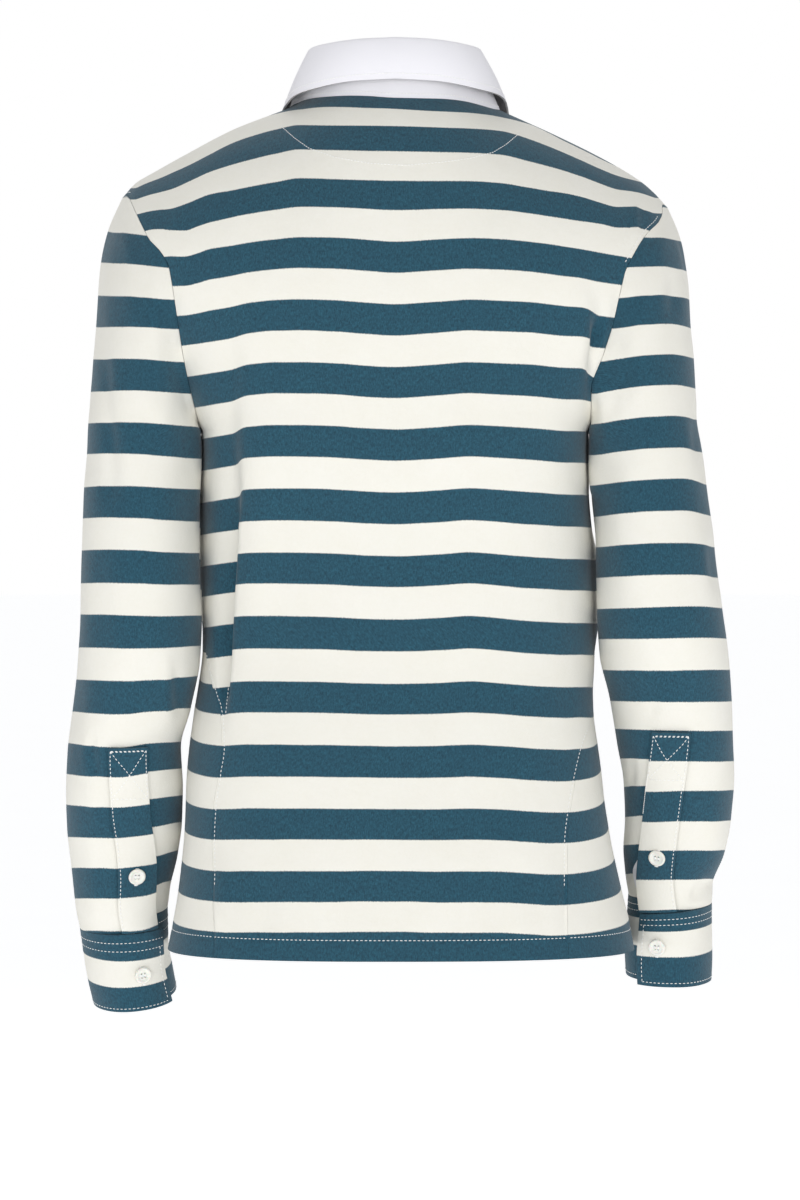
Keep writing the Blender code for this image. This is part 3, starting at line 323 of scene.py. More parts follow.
SLEEVE_BACK_CREASES = {
    "left": table(
        CREASE,
        (213, -90, 216, -112, 0, 4, -1.4), (222, -86, 216, -190, 2, 6, 1.1), (242, -185, 235, -330, 3, 6, -2.2),
        (233, -262, 232, -330, 2, 9, -2.2), (228, -196, 222, -300, 0, 10, 1.2), (240, -360, 236, -470, -3, 9, -1.4),
        (180, -466, 178, -504, 1, 5, -2.4), (188, -450, 186, -520, 1, 6, 1.6), (249, -522, 243, -556, -2, 4, -2.6),
        (243, -552, 229, -586, 1, 3.4, -2.6), (253, -560, 238, -604, 2, 7, 1.6), (258, -470, 262, -560, -2, 7, -1.8),
        (206, -490, 212, -520, 0, 9, -0.9), (252, -600, 246, -680, 3, 8, 1.1), (196, -610, 192, -650, 0, 5, -1.4),
        (205, -240, 176, -300, 8, 12, 1),
    ),
    "right": table(
        CREASE,
        (217, -90, 218, -190, 1, 6, 1.3), (228, -140, 230, -176, 1, 5, -2.2), (236, -150, 238, -215, 0, 6, 1.2),
        (245, -255, 248, -294, 0, 4.5, -2.2), (238, -262, 242, -320, 0, 7, 1.2), (259, -362, 264, -402, 0, 5, -2.4),
        (252, -350, 256, -420, 0, 8, 1), (214, -494, 207, -522, 1, 5, -2.4), (222, -492, 214, -530, 1, 6, 1.2),
        (200, -536, 193, -566, 1, 4.5, -2.2), (240, -540, 235, -562, 0, 4, -1.6), (262, -660, 240, -664, 0, 5, 1.6),
        (261, -640, 243, -656, 1, 4.5, -3), (266, -560, 262, -620, 1, 8, 1.1), (182, -330, 190, -420, -2, 10, 1),
        (205, -230, 176, -290, 8, 12, 1),
    ),
}
SLEEVE_FRONT_CREASES = table(
    CREASE,
    (232, -330, 176, -372, 5, 9, 2.4), (226, -362, 180, -410, 5, 8, -2.2), (246, -372, 190, -430, 4, 8, 2.6),
    (236, -420, 186, -450, -4, 7, -2.2), (250, -430, 196, -478, 3, 8, 2), (220, -130, 196, -220, 8, 10, 1.6),
    (200, -170, 172, -260, 6, 9, -2), (232, -190, 226, -300, 4, 12, 1.4), (250, -520, 206, -560, 4, 8, 1.8),
    (244, -560, 214, -600, 3, 7, -1.8), (252, -606, 230, -652, 2, 7, 1.6), (208, -600, 204, -660, -2, 6, 1.4),
)
STAND_CREASES = table(
    CREASE,
    (-52, 12, -64, 6, 1, 2.2, 0.9), (-60, 12, -72, 2, 1, 2.4, -0.9), (-70, 8, -79, -1, 0, 2.2, 0.8),
    (30, 9, 52, 8, 1, 2.6, 0.5),
)

# Mesh density: points between the marks of a row, and rows.
BACK_COLUMNS = (22, 6, 14, 44, 14, 6, 22)
FRONT_COLUMNS = (38, 44, 38)
HEM_STITCH = 16.8  # height of the hem's stitching
HEM_ROWS = (0, 2.5, 6, 9.5, 13, 15.5, HEM_STITCH, 18.1, 21)
BODY_ROWS = len(HEM_ROWS) + 93
YOKE_STEPS = 64
SLEEVE_RINGS, SLEEVE_COLUMNS = 156, 88
CUFF_ROWS, CUFF_COLUMNS = 18, 112

MEETING = 130  # over how much of the front its stripes bend to meet the back's at the side seams

# Below the arms the flanks swell a little, and the front swells past the side seams.
FLANK_DEPTH = 30
FRONT_SWELL_Y, FRONT_SWELL_DEPTH = -34, 24
SWELLS = table(
    "z left_flank left_front right_flank right_front",
    (-560, 0, 0, 0, 0), (-490, 0, 0.5, 0, 0), (-460, 0.5, 2.5, 1, 2), (-434, 1.5, 5, 1.6, 7.5),
    (-410, 3.2, 8, 2, 8.5), (-375, 4.4, 8, 2.2, 8.8), (-350, 4.6, 7.5, 1.4, 5), (-325, 4.2, 6.8, 0.8, 4.4),
    (-303, 3, 5.6, 0.5, 6.2), (-280, 1.5, 4.6, 0.3, 6.3), (-268, 0.5, 2.2, 0, 2.8), (-256, 0, 0, 0, 0),
)
# The sleeves swell towards the body there, on their back's inner side.
SLEEVE_SWELLS = table(
    "z left right",
    (-450, 0, 0), (-420, 0.6, 1.2), (-390, 1, 1.5), (-360, 1.8, 1), (-345, 2.6, 1), (-330, 4, 1.5), (-318, 5.2, 5.2),
    (-303, 6.2, 6.5), (-288, 6.5, 6.3), (-273, 5.6, 5.8), (-260, 2.6, 3.8), (-248, 0, 1), (-240, 0, 0),
)
SLEEVE_SWELL_Y, SLEEVE_SWELL_DEPTH = {"left": 40, "right": 44}, 18
# The armholes' seams lie this much farther out on the back.
ARMHOLE_SHIFTS = table(
    "rise left right",
    (0, 0, 0), (0.146, 0, 0), (0.206, 0, 2), (0.273, 0, 4), (0.345, 0, 4), (0.5, 0, 3), (0.578, 0, 3.2),
    (0.655, 3, 6), (0.727, 6.4, 8.2), (0.794, 5.6, 10), (0.854, 4.2, 11), (0.905, 3.4, 9.4), (0.946, 2, 6),
    (0.976, 0.6, 2), (1, 0, 0),
)
# The neck seam waves along the back.
NECK_WAVE = table(
    "across lift",
    (-87, 0), (-80, -1.6), (-54, 0), (-20, -1.5), (0, -1.8), (20, 0), (52, 2.5), (74, 4), (82, 3), (87, 0),
)

# Stitches
Stitch = namedtuple("Stitch", "length gap width")
TOPSTITCH = Stitch(2.5, 1.0, 0.72)
FINE_STITCH = Stitch(2.2, 0.5, 0.75)
TACK = Stitch(1.6, 0.1, 0.8)


def clamp(value, low=0.0, high=1.0):
    return max(low, min(high, value))


def ease(value):
    """0 to 1 with flat ends."""
    value = clamp(value)
    return value * value * (3 - 2 * value)


def bell(value):
    """1 at 0, and fading on both sides."""
    return math.exp(-(value**2))


def signed_power(value, power):
    return math.copysign(abs(value) ** power, value)


def cos_sin(degrees):
    return math.cos(math.radians(degrees)), math.sin(math.radians(degrees))


def even(low, high, count):
    return [low + (high - low) * k / count for k in range(count + 1)]


def distances(points):
    """How far along its line each point lies."""
    return [0.0, *accumulate((b - a).length for a, b in zip(points, points[1:]))]


class Curve:
    """A smooth curve through pairs of numbers, which never swings past them."""

    def __init__(self, keys, values):
        self.keys, self.values = keys, values
        steps = [(values[j + 1] - values[j]) / (keys[j + 1] - keys[j]) for j in range(len(keys) - 1)]
        slopes = [0.0 if a * b <= 0 else 2 * a * b / (a + b) for a, b in zip(steps, steps[1:])]
        self.slopes = [steps[0], *slopes, steps[-1]]

    def __call__(self, at):
        keys, values = self.keys, self.values
        at = clamp(at, keys[0], keys[-1])
        i = min(len(keys) - 2, max(0, bisect_right(keys, at) - 1))
        width = keys[i + 1] - keys[i]
        t = (at - keys[i]) / width
        return (
            values[i] * (1 + 2 * t) * (1 - t) ** 2
            + self.slopes[i] * width * t * (1 - t) ** 2
            + values[i + 1] * t * t * (3 - 2 * t)
            + self.slopes[i + 1] * width * t * t * (t - 1)
        )


CURVES = {}


def read(rows, key, column, at):
    """A table's column where its key is `at`."""
    name = (id(rows), key, column)
    if name not in CURVES:
        ordered = sorted(rows, key=lambda row: getattr(row, key))
        CURVES[name] = Curve(*([getattr(row, field) for row in ordered] for field in (key, column)))
    return CURVES[name](at)


# ---- The body's surface ----


def ring_point(z, degrees):
    """The body below the armholes: 0 degrees is the wearer's left side, 90 the back, 180 the right side."""
    c, s = cos_sin(degrees)
    half = read(BODY, "z", "left" if c > 0 else "right", z)
    depth = read(BODY, "z", "back" if s > 0 else "front", z)
    power = 2 / (read(BODY, "z", "power", z) - (0 if s > 0 else FRONT_ROUNDER))
    return Vector((half * signed_power(c, power), depth * signed_power(s, power), z))


def seam_angle(z, side):
    """The angle of a side seam, which lies on the back's side of the section."""
    across = abs(read(BODY, "z", "seam_" + side, z)) / read(BODY, "z", side, z)
    angle = math.degrees(math.acos(clamp(across) ** (read(BODY, "z", "power", z) / 2)))
    return angle if side == "left" else 180 - angle


def ridge(x):
    return read(SHOULDER, "across", "left" if x > 0 else "right", abs(x))


def top_edge(x, cloth):
    """The height of the shoulder seam, or of the neck seam between the neck points."""
    if abs(x) >= NECK_HALF:
        return ridge(x)
    left, right = ridge(NECK_HALF), ridge(-NECK_HALF)
    ends = (left + right) / 2 + (left - right) / 2 * x / NECK_HALF
    across = abs(x) / NECK_HALF
    if cloth == "back":
        return ends + NECK_BACK_RISE * (1 - across**2) + read(NECK_WAVE, "across", "lift", x)
    return ends - NECK_DROP * (1 - across**2.2) ** 0.6


def yoke_point(x, z, cloth):
    """The body above the armholes, where each column rounds over to the shoulder's ridge."""
    rise = clamp((z - CHEST_Z) / (ridge(x) - CHEST_Z))
    half = read(YOKE, "rise", "half", rise)
    depth = read(YOKE_DEPTH, "z", cloth, z)
    power = read(YOKE, "rise", "power", rise) - (0 if cloth == "back" else FRONT_ROUNDER)
    lift, roll = BACK_ROLL if cloth == "back" else FRONT_ROLL
    y = depth * (1 - clamp(abs(x) / half) ** power) ** (1 / power)
    y = y if cloth == "back" else -y
    return Vector((x, RIDGE_Y + (y - RIDGE_Y) * (1 - rise**lift) ** roll, z))


def at_rise(x, rise, cloth, top):
    """A point of the yoke at a share of the way up to its top."""
    return yoke_point(x, CHEST_Z + (top - CHEST_Z) * rise, cloth)


def armhole_x(rise, cloth, side):
    x = read(YOKE, "rise", "front" if cloth == "front" else "back_" + side, rise)
    if cloth == "back":
        x += read(ARMHOLE_SHIFTS, "rise", side, rise)
    return x * WAY[side]


@lru_cache(maxsize=None)
def armhole_point(side, degrees):
    """0 degrees is the shoulder's tip, 90 the back, 180 the armpit and 270 the front."""
    c, s = cos_sin(degrees)
    rise = (1 + c) / 2
    cloth = "back" if s >= 0 else "front"
    x = armhole_x(rise, cloth, side)
    return at_rise(x, rise, cloth, ridge(x))


def armhole_axis(side):
    return Vector((ARMHOLE_AXIS.x * WAY[side], 0, ARMHOLE_AXIS.z))


def armhole_out(side, degrees):
    """The way out that both cloths share at the armhole."""
    out = armhole_point(side, degrees) - (armhole_point(side, 0) + armhole_point(side, 180)) / 2
    axis = armhole_axis(side)
    return (out - axis * out.dot(axis)).normalized() * ease((cos_sin(degrees)[0] + 0.6) / 1.1)


def spread(points, marks, counts):
    """Points along a fine line: evenly spaced between marks, which are places where x crosses a value."""
    far = distances(points)
    stops = [0.0]
    for mark in marks:
        for i in range(1, len(points)):
            a, b = points[i - 1].x - mark, points[i].x - mark
            if a * b <= 0 and a != b and far[i] > stops[-1] + 1:
                stops.append(far[i - 1] + (far[i] - far[i - 1]) * a / (a - b))
                break
    stops.append(far[-1])
    if len(stops) != len(counts) + 1:
        raise ValueError("a mark lies off its row")
    wanted = [0.0]
    for start, end, count in zip(stops, stops[1:], counts):
        wanted += even(start, end, count)[1:]
    row = []
    for place in wanted:
        i = min(len(far) - 1, max(1, bisect_right(far, place)))
        share = (place - far[i - 1]) / (far[i] - far[i - 1])
        row.append(points[i - 1].lerp(points[i], clamp(share)))
    return row


def drawn_in(row):
    """The row with its two ends drawn in by half a seam."""
    row[0] = row[0] + (row[1] - row[0]).normalized() * (SEAM / 2)
    row[-1] = row[-1] + (row[-2] - row[-1]).normalized() * (SEAM / 2)
    return row


def fold_marks(z, first, last):
    """Where a row's columns change their spacing: at the folds, inside the row's ends, and at the neck points."""
    ends = {"left": first.x, "right": -last.x}
    at = {side: min(read(BACK_FOLDS[side], "z", "across", z), end - 5) for side, end in ends.items()}
    past = {side: min(at[side] + CREASE_GAP, end - 2) for side, end in ends.items()}
    return past["left"], at["left"], NECK_HALF, -NECK_HALF, -at["right"], -past["right"]


FINE = 240  # steps of a row before its points are spread


def low_row(cloth, z):
    """A panel's row below the armholes."""
    start, end = seam_angle(z, "left"), seam_angle(z, "right")
    if cloth == "front":
        end -= 360
    fine = [ring_point(z, degrees) for degrees in even(start, end, FINE)]
    if cloth == "back":
        return drawn_in(spread(fine, fold_marks(z, fine[0], fine[-1]), BACK_COLUMNS))
    middle = [p for p in fine if p.y < 0]
    neck = NECK_HALF + (abs(middle[0].x) - NECK_HALF) * 0.1
    return drawn_in(front_ends(fine, spread(middle, (neck, -neck), FRONT_COLUMNS)))


def front_ends(fine, row):
    """Re-spaces the front's outer columns, which run on round the sides to the seams."""
    first, _, last = FRONT_COLUMNS
    inner = row[first : len(row) - last]
    head = [p for p in fine if p.x > inner[0].x or p.y > 0][: len(fine) // 2]
    tail = [p for p in fine if p.x < inner[-1].x or p.y > 0][-len(fine) // 2 :]
    head = [p for p in head if p.x > 0] + [inner[0]]
    tail = [inner[-1]] + [p for p in tail if p.x < 0]
    return spread(head, (), (first,)) + inner[1:-1] + spread(tail, (), (last,))


def high_row(cloth, step):
    """A panel's row over the yoke; rows lie closer together near the armpit and the shoulder."""
    rise = (1 - math.cos(math.pi * step / YOKE_STEPS)) / 2
    left, right = (armhole_x(rise, cloth, side) for side in SIDES)
    fine = []
    for k in range(FINE + 1):
        x = (left + right) / 2 + (left - right) / 2 * math.cos(math.pi * k / FINE)
        fine.append(at_rise(x, rise, cloth, top_edge(x, cloth)))
    if cloth == "back":
        row = spread(fine, fold_marks(fine[FINE // 5].z, fine[0], fine[-1]), BACK_COLUMNS)
    else:
        row = spread(fine, (NECK_HALF, -NECK_HALF), FRONT_COLUMNS)
    if step == 0:
        return drawn_in(row)
    if step == YOKE_STEPS:
        apart = SEAM / 2 if cloth == "back" else -SEAM / 2
        row = [p + Vector((0, apart, 0)) if abs(p.x) >= NECK_HALF - 1 else p for p in row]
    return row


def fold_at(point):
    """The side of a fold, its rows, how far it is tucked under, its softness and how far past it a point lies."""
    side = "left" if point.x > 0 else "right"
    rows = BACK_FOLDS[side]
    tucked = clamp((read(rows, "z", "sunk", point.z) - 2) / 3)
    return side, rows, tucked, SOFT_FOLD * (1 - tucked), abs(point.x) - read(rows, "z", "across", point.z)


def bent(past, soft):
    """How far the cloth has turned over a fold."""
    return ease((past + soft) / (CREASE_GAP + 2 * soft))


def folded(row):
    """The back's row with its two folds: proud towards the middle, and sunk and tucked under towards the seam."""
    for c, point in enumerate(row):
        side, rows, tucked, soft, past = fold_at(point)
        proud, sunk = read(rows, "z", "proud", point.z), read(rows, "z", "sunk", point.z)
        if proud + sunk < 0.05:
            continue
        end = abs(row[0 if side == "left" else -1].x)
        room = max(12.0, end - read(rows, "z", "across", point.z))
        if past <= -soft:
            out, tuck = proud * (1 - ease((-past - soft) / FOLD_REACH)) ** 1.4, 0.0
        elif past < CREASE_GAP + soft:
            out = proud - (proud + sunk) * bent(past, soft)
            tuck = (CREASE_GAP + FOLD_TUCK) * bent(past, soft)
        else:
            beyond = (past - CREASE_GAP - soft) / (room - CREASE_GAP - soft)
            out = -sunk * (1 - ease(beyond / 0.75))
            tuck = (CREASE_GAP + FOLD_TUCK) * (1 - ease(beyond / 0.6))
        at_seam = ease((end - abs(point.x)) / 8)
        row[c] = point + Vector((-tuck * tucked * at_seam * WAY[side], out * at_seam, 0))
    return row


def body_rows(cloth):
    heights = [BODY[0].z + height for height in HEM_ROWS]
    heights += even(heights[-1], BODY[-1].z, BODY_ROWS + 1 - len(heights))[1:]
    rows = [low_row(cloth, z) for z in heights]
    rows += [high_row(cloth, step) for step in range(YOKE_STEPS + 1)]
    return rows if cloth == "back" else [row[::-1] for row in rows]


# ---- The sleeves' and cuffs' surface ----


def section_point(row, side, degrees):
    """A point of a sleeve's section: 0 degrees is its outer edge, 90 its back and 180 its inner edge."""
    c, s = cos_sin(degrees)
    outer, inner = Vector((row.out_x, 0, row.out_z)), Vector((row.in_x, 0, row.in_z))
    power = 2 / SLEEVE_POWER
    back = signed_power(s, power)
    point = (outer + inner) / 2 + (outer - inner) / 2 * signed_power(c, power)
    point += Vector((0, row.y + row.depth * back, -row.tilt * back))
    point.x *= WAY[side]
    return point


NUMBERED = {
    (kind, side): table("number " + SECTION, *((number, *row) for number, row in enumerate(sections[side])))
    for kind, sections in (("sleeve", SLEEVES), ("cuff", CUFFS))
    for side in SIDES
}
SLEEVE_END = len(SLEEVES["left"]) - 1


@lru_cache(maxsize=None)
def section_at(kind, side, place):
    """The section at a place between the table's rows, on smooth curves."""
    rows = NUMBERED[kind, side]
    return SleeveSection(*(read(rows, "number", field, place) for field in SleeveSection._fields))


def raised(degrees):
    """How far the wrist seam rides up, from the slit's under side round the inner edge to the front."""
    degrees = (degrees - SLIT_ANGLE) % 360 + SLIT_ANGLE
    return WRIST_RAISE * (1 - ease((degrees - 190) / 100))


def sleeve_point(side, place, degrees, under=True):
    """The sleeve's outside at a place down its table of sections; it starts with the armhole's own shape."""
    point = section_point(section_at("sleeve", side, place), side, degrees)
    if under:
        point.z += raised(degrees) * clamp((place - SLIT_FROM) / (SLEEVE_END - SLIT_FROM))
    own = (1 - ease(place / ARMHOLE_FADE)) ** 1.5
    if own > 0:
        start = armhole_point(side, degrees) + armhole_axis(side) * SEAM
        point += (start - section_point(SLEEVES[side][0], side, degrees)) * own
    return point


def sleeve_place(ring):
    return SLEEVE_END * ring / SLEEVE_RINGS


SLEEVE_TURN = 360 / SLEEVE_COLUMNS


def sleeve_rows(side):
    """The rings down a sleeve, each from the slit's under side round to its upper side."""
    rows = []
    for ring in range(SLEEVE_RINGS + 1):
        place = sleeve_place(ring)
        row = [sleeve_point(side, place, SLIT_ANGLE + SLEEVE_TURN * k) for k in range(SLEEVE_COLUMNS)]
        row.append(sleeve_point(side, place, SLIT_ANGLE, under=False))
        if place > SLIT_FROM:
            across = row[1] - row[-2]
            across = Vector((across.x, across.y, 0)).normalized() * SLIT_WIDTH / 2
            row[0] = row[0] + across
            row[-1] = row[-1] - across
        rows.append(row)
    return rows


def step_along(side, place, degrees, distance, under):
    """The angle that lies `distance` further round a sleeve's section."""
    before, after = (sleeve_point(side, place, degrees + turn, under) for turn in (-1, 1))
    return degrees + 2 * distance / (after - before).length


def sleeve_out(side, place, degrees, under):
    """The way straight out of a sleeve's cloth."""
    before, after = (sleeve_point(side, place, degrees + turn, under) for turn in (-2, 2))
    above, below = (sleeve_point(side, place + step, degrees, under) for step in (-0.05, 0.05))
    return ((below - above).cross(after - before) * WAY[side]).normalized()


def laid_rows(side, places, edges, height, columns, under):
    """Points over a sleeve, between two edges measured round it from the placket's middle, moved out."""
    laid = []
    for place in places:
        middle = read(PLACKET, "section", side, place)
        turns = (step_along(side, place, middle, across, under) for across in even(*edges(place), columns))
        laid.append([
            sleeve_point(side, place, turned, under) + sleeve_out(side, place, turned, under) * height
            for turned in turns
        ])
    return laid


def cuff_point(side, place, turned):
    """A cuff's outside, by its row and the angle turned from its free end, which lies over its other end."""
    section = section_at("cuff", side, place)
    degrees = CUFF_END[side] - turned
    point = section_point(section, side, degrees)
    out = point - section_point(section, side, 0).lerp(section_point(section, side, 180), 0.5)
    out.z = 0
    if turned > 200:
        point.z += raised(degrees + 360) * (1 - place / 4)
    return point + (out.normalized() - Vector((0, 0, 0.25))) * CUFF_LIFT * ease((112 - turned) / 60)


# ---- The collar's surface ----


def neck_seam(back_rows, front_rows):
    """The neck seam's points from the middle of the front, round the wearer's left, back to the front."""
    front, back = front_rows[-1][::-1], back_rows[-1]
    first, half = FRONT_COLUMNS[0], FRONT_COLUMNS[1] // 2
    left_front = front[first : first + half + 1][::-1]
    right_front = front[first + half : first + 2 * half + 1][::-1]
    start = sum(BACK_COLUMNS[:3])
    across_back = back[start : start + BACK_COLUMNS[3] + 1]
    left_neck = (left_front[-1] + across_back[0]) / 2
    right_neck = (right_front[0] + across_back[-1]) / 2
    return left_front[:-1] + [left_neck] + across_back[1:-1] + [right_neck] + right_front[1:]


def neck_out(point):
    """The way out of the cloth at the neck seam, shared by the collar's stand and the body."""
    round_it = Vector((point.x / NECK_HALF**2, (point.y + 12) / 68**2, 0)).normalized()
    return (round_it + Vector((0, 0, 0.8))).normalized()


def collar_line(share, way, line):
    """The collar's fold line or its lower edge; way is 1 on the wearer's left and -1 on the right."""
    x, y, z = (read(COLLAR, "share", f"{line}_{axis}", share) for axis in "xyz")
    return Vector((way * x, y, z))


ROLL = ((-1.9, TWILL + 0.5), (0.2, TWILL + 0.9), (2.6, TWILL + 0.5), (4.6, -1.2))  # across and up, over the fold
FALL_STEPS = 5


def collar_rows(seam):
    """The stand's rows from the seam to the fold line, and the fall's rows from the fold to its edge."""
    far = distances(seam)
    half = far[len(seam) // 2]
    stand, fall = [], []
    for point, place in zip(seam, far):
        share = clamp(place / half if place <= half else (far[-1] - place) / (far[-1] - half))
        way = 1 if place <= half else -1
        fold, edge = collar_line(share, way, "fold"), collar_line(share, way, "edge")
        left_side = bell((share - 0.6) / 0.11) if way > 0 else 0.0
        edge.z -= 4.6 * left_side
        along = collar_line(min(1, share + 0.02), way, "fold") - collar_line(max(0, share - 0.02), way, "fold")
        along.normalize()
        out = Vector((fold.x, fold.y + 10, 0)).normalized()
        up = (Vector((0, 0, 1)) - along * along.z).normalized()
        out = (out - along * out.dot(along) - up * out.dot(up)).normalized()
        base = point + (fold - point).normalized() * SEAM
        stand.append([
            base,
            base.lerp(fold, 0.25) + out * (2.6 * left_side - 0.7),
            base.lerp(fold, 0.5) - out * (1.0 - 1.2 * left_side),
            base.lerp(fold, 0.75) - out * 0.7,
            fold,
        ])
        column = [fold + out * across + up * rise for across, rise in ROLL]
        start = column[-1]
        bulge = (edge - start).cross(along).normalized()
        bulge = bulge if bulge.dot(out) > 0 else -bulge
        swell = read(COLLAR, "share", "swell", share)
        for t in even(0, 1, FALL_STEPS)[1:]:
            column.append(start.lerp(edge, t) + bulge * swell * 4 * t * (1 - t))
        fall.append(column)
    return [list(row) for row in zip(*stand)], [list(row) for row in zip(*fall)]


def finer(rows, times):
    """Rows with smooth rows added between them."""
    last = len(rows) - 1
    added = []
    for r in range(last):
        near = [rows[k] for k in (max(r - 1, 0), r, r + 1, min(r + 2, last))]
        for t in even(0, 1, times)[:-1]:
            line = []
            for a, b, d, e in zip(*near):
                bend = (2 * a - 5 * b + 4 * d - e) * t * t + (3 * b - a - 3 * d + e) * t**3
                line.append(b + ((d - a) * t + bend) / 2)
            added.append(line)
    return added + [rows[-1]]


# ---- Stripes ----


def from_behind(point):
    """Where a point is seen against the middle plane, by the eye behind the wearer."""
    near = 1 / (1 - point.y / EYE_Y)
    return point.x * near, EYE_Z + (point.z - EYE_Z) * near


def sag(across, number):
    """How far a stripe hangs below its height at the middle of the back."""
    stops = list(SAG_AT.items())
    number = clamp(number, stops[0][1], stops[-1][1])
    for (low, start), (high, end) in zip(stops, stops[1:]):
        if number <= end:
            above, below = read(BACK_SAG, "across", low, across), read(BACK_SAG, "across", high, across)
            return above + (below - above) * (number - start) / (end - start)
    raise ValueError("no such stripe")


def back_stripe(point, drop):
    """The stripe coordinate of a point on the back, where the cloth has slipped down by `drop`."""
    x, z = from_behind(point)
    z += STRIPES_LOWER
    number = read(BACK_STRIPES, "z", "number", z)
    for _ in range(4):
        number = read(BACK_STRIPES, "z", "number", z + sag(x, number) + drop)
    return number


def slipped(flat_row):
    """For a row of the back before it is folded: how far the stripes slip down at each fold."""
    drops = []
    for point in flat_row:
        side, _, _, soft, past = fold_at(point)
        drops.append(read(FOLD_DROPS, "z", side, point.z) * bent(past, soft))
    return drops


def front_stripe(point):
    return HEM_NUMBER - (point.z - BODY[0].z) / REPEAT


BOW_CURVES = {
    side: [(max(0.5, k + 0.2), Curve([0, 0.25, 0.5, 0.75, 1], bow)) for k, bow in enumerate(bows)]
    for side, bows in SLEEVE_BOWS.items()
}


def bowed(side, number, across):
    """How far a sleeve's stripe lies above the straight line between its ends."""
    curves = BOW_CURVES[side]
    for (start, above), (end, below) in zip(curves, curves[1:]):
        if number <= end or end == curves[-1][0]:
            share = clamp((number - start) / (end - start))
            return above(across) * (1 - share) + below(across) * share
    raise ValueError("no such stripe")


def sleeve_stripe(side, place, point, turned=360.0):
    """The stripe coordinate on a sleeve: each stripe runs from the outer to the inner outline, a little bowed."""
    section = section_at("sleeve", side, place)
    across = clamp((section.out_x - abs(point.x)) / (section.out_x - section.in_x))
    z = from_behind(point)[1]
    rows = SLEEVE_STRIPES[side]
    low, high = rows[0].number, rows[-1].number
    for _ in range(22):
        middle = (low + high) / 2
        outer, inner = (read(rows, "number", end, middle) for end in ("outer", "inner"))
        if outer + (inner - outer) * across > z:
            low = middle
        else:
            high = middle
    low += bowed(side, low, across) / REPEAT
    return low + 0.13 * ease((place - PLACKET_TOP[side]) / 2) * (1 - turned / 360) ** 2


CUFF_STRIPES = Curve([0, 0.7, 1.68, 3], [0.02, 0.5, 1.0, 1.45])


# ---- Creases ----


def crease_height(creases, x, z):
    """The height of all creases together at a seen place."""
    total = 0.0
    for crease in creases:
        dx, dz = crease.x1 - crease.x0, crease.z1 - crease.z0
        length = math.hypot(dx, dz)
        along = ((x - crease.x0) * dx + (z - crease.z0) * dz) / length**2
        if not -0.15 < along < 1.15:
            continue
        middle = clamp(along)
        off = ((x - crease.x0) * dz - (z - crease.z0) * dx) / length - crease.bow * 4 * middle * (1 - middle)
        if abs(off) < 3 * crease.width:
            ends = ease((along + 0.15) / 0.45) * ease((1.15 - along) / 0.45)
            total += crease.height * ends * bell(off / crease.width)
    return total


# Where in the noise each cloth's unevenness is taken from.
UNEVEN = {"body": 3.0, "left_sleeve": 11.0, "right_sleeve": 23.0, "cuff": 31.0, "placket": 47.0, "collar": 71.0}


def unevenness(point, cloth):
    """Cloth is never quite smooth: a slow swell and a smaller ripple."""
    start = UNEVEN[cloth]
    slow = noise.noise(Vector((point.x / 55, point.y / 55, point.z / 80 + start)))
    quick = noise.noise(Vector((point.x / 19, point.y / 19, point.z / 26 + start + 40)))
    return 0.9 * slow + 0.3 * quick


def surface_normals(rows, way, closed=False):
    """The way out of the cloth at each point of its rows."""
    last_row, last_column = len(rows) - 1, len(rows[0]) - 1
    normals = []
    for r, row in enumerate(rows):
        line = []
        for c in range(last_column + 1):
            before = c - 1 if c > 0 or not closed else last_column - 1
            after = c + 1 if c < last_column or not closed else 1
            across = row[min(after, last_column)] - row[max(before, 0)]
            down = rows[min(r + 1, last_row)][c] - rows[max(r - 1, 0)][c]
            line.append(across.cross(down).normalized() * way)
        normals.append(line)
    return normals


def creased(rows, normals, height_at):
    """The rows, moved along their normals by height_at(point, row, column)."""
    return [
        [point + normals[r][c] * height_at(point, r, c) for c, point in enumerate(row)]
        for r, row in enumerate(rows)
    ]


# ---- Meshes ----


def courses_of(rows, number_at):
    """The cloth's own coordinates: metres across it, and its stripe number down it."""
    courses = []
    for r, row in enumerate(rows):
        far = distances(row)
        courses.append([((place - far[-1] / 2) * MM, number_at(r, c)) for c, place in enumerate(far)])
    return courses


def plain_courses(rows):
    """The same for cloth with no stripes: metres down it at each row, by its middle column."""
    middle = len(rows[0]) // 2
    down = distances([row[middle] for row in rows])
    return courses_of(rows, lambda r, c: down[r] * MM)


def grid_of(points, courses):
    """A grid whose corners are moved to the points, row by row."""
    mesh = bmesh.new()
    last_row, last_column = len(points) - 1, len(points[0]) - 1
    bmesh.ops.create_grid(mesh, x_segments=last_column, y_segments=last_row, size=1)
    rim = mesh.verts.layers.float_vector.new("rim")
    mesh.verts.layers.float.new("deep")
    uv = mesh.loops.layers.uv.new("courses")
    for vert in mesh.verts:
        column = round((vert.co.x + 1) / 2 * last_column)
        row = round((vert.co.y + 1) / 2 * last_row)
        vert.co = points[row][column]
        vert[rim] = (row, column, 1)
    for face in mesh.faces:
        for loop in face.loops:
            row, column = round(loop.vert[rim][0]), round(loop.vert[rim][1])
            loop[uv].uv = courses[row][column]
    return mesh


def set_rims(mesh, rims, deeper):
    """Turns each corner's row and column into its seam direction and its share of the wall's thickness."""
    rim, deep = mesh.verts.layers.float_vector["rim"], mesh.verts.layers.float["deep"]
    for vert in mesh.verts:
        row, column = round(vert[rim][0]), round(vert[rim][1])
        vert[rim] = rims.get((row, column), Vector())
        vert[deep] = deeper.get(row, 1.0)


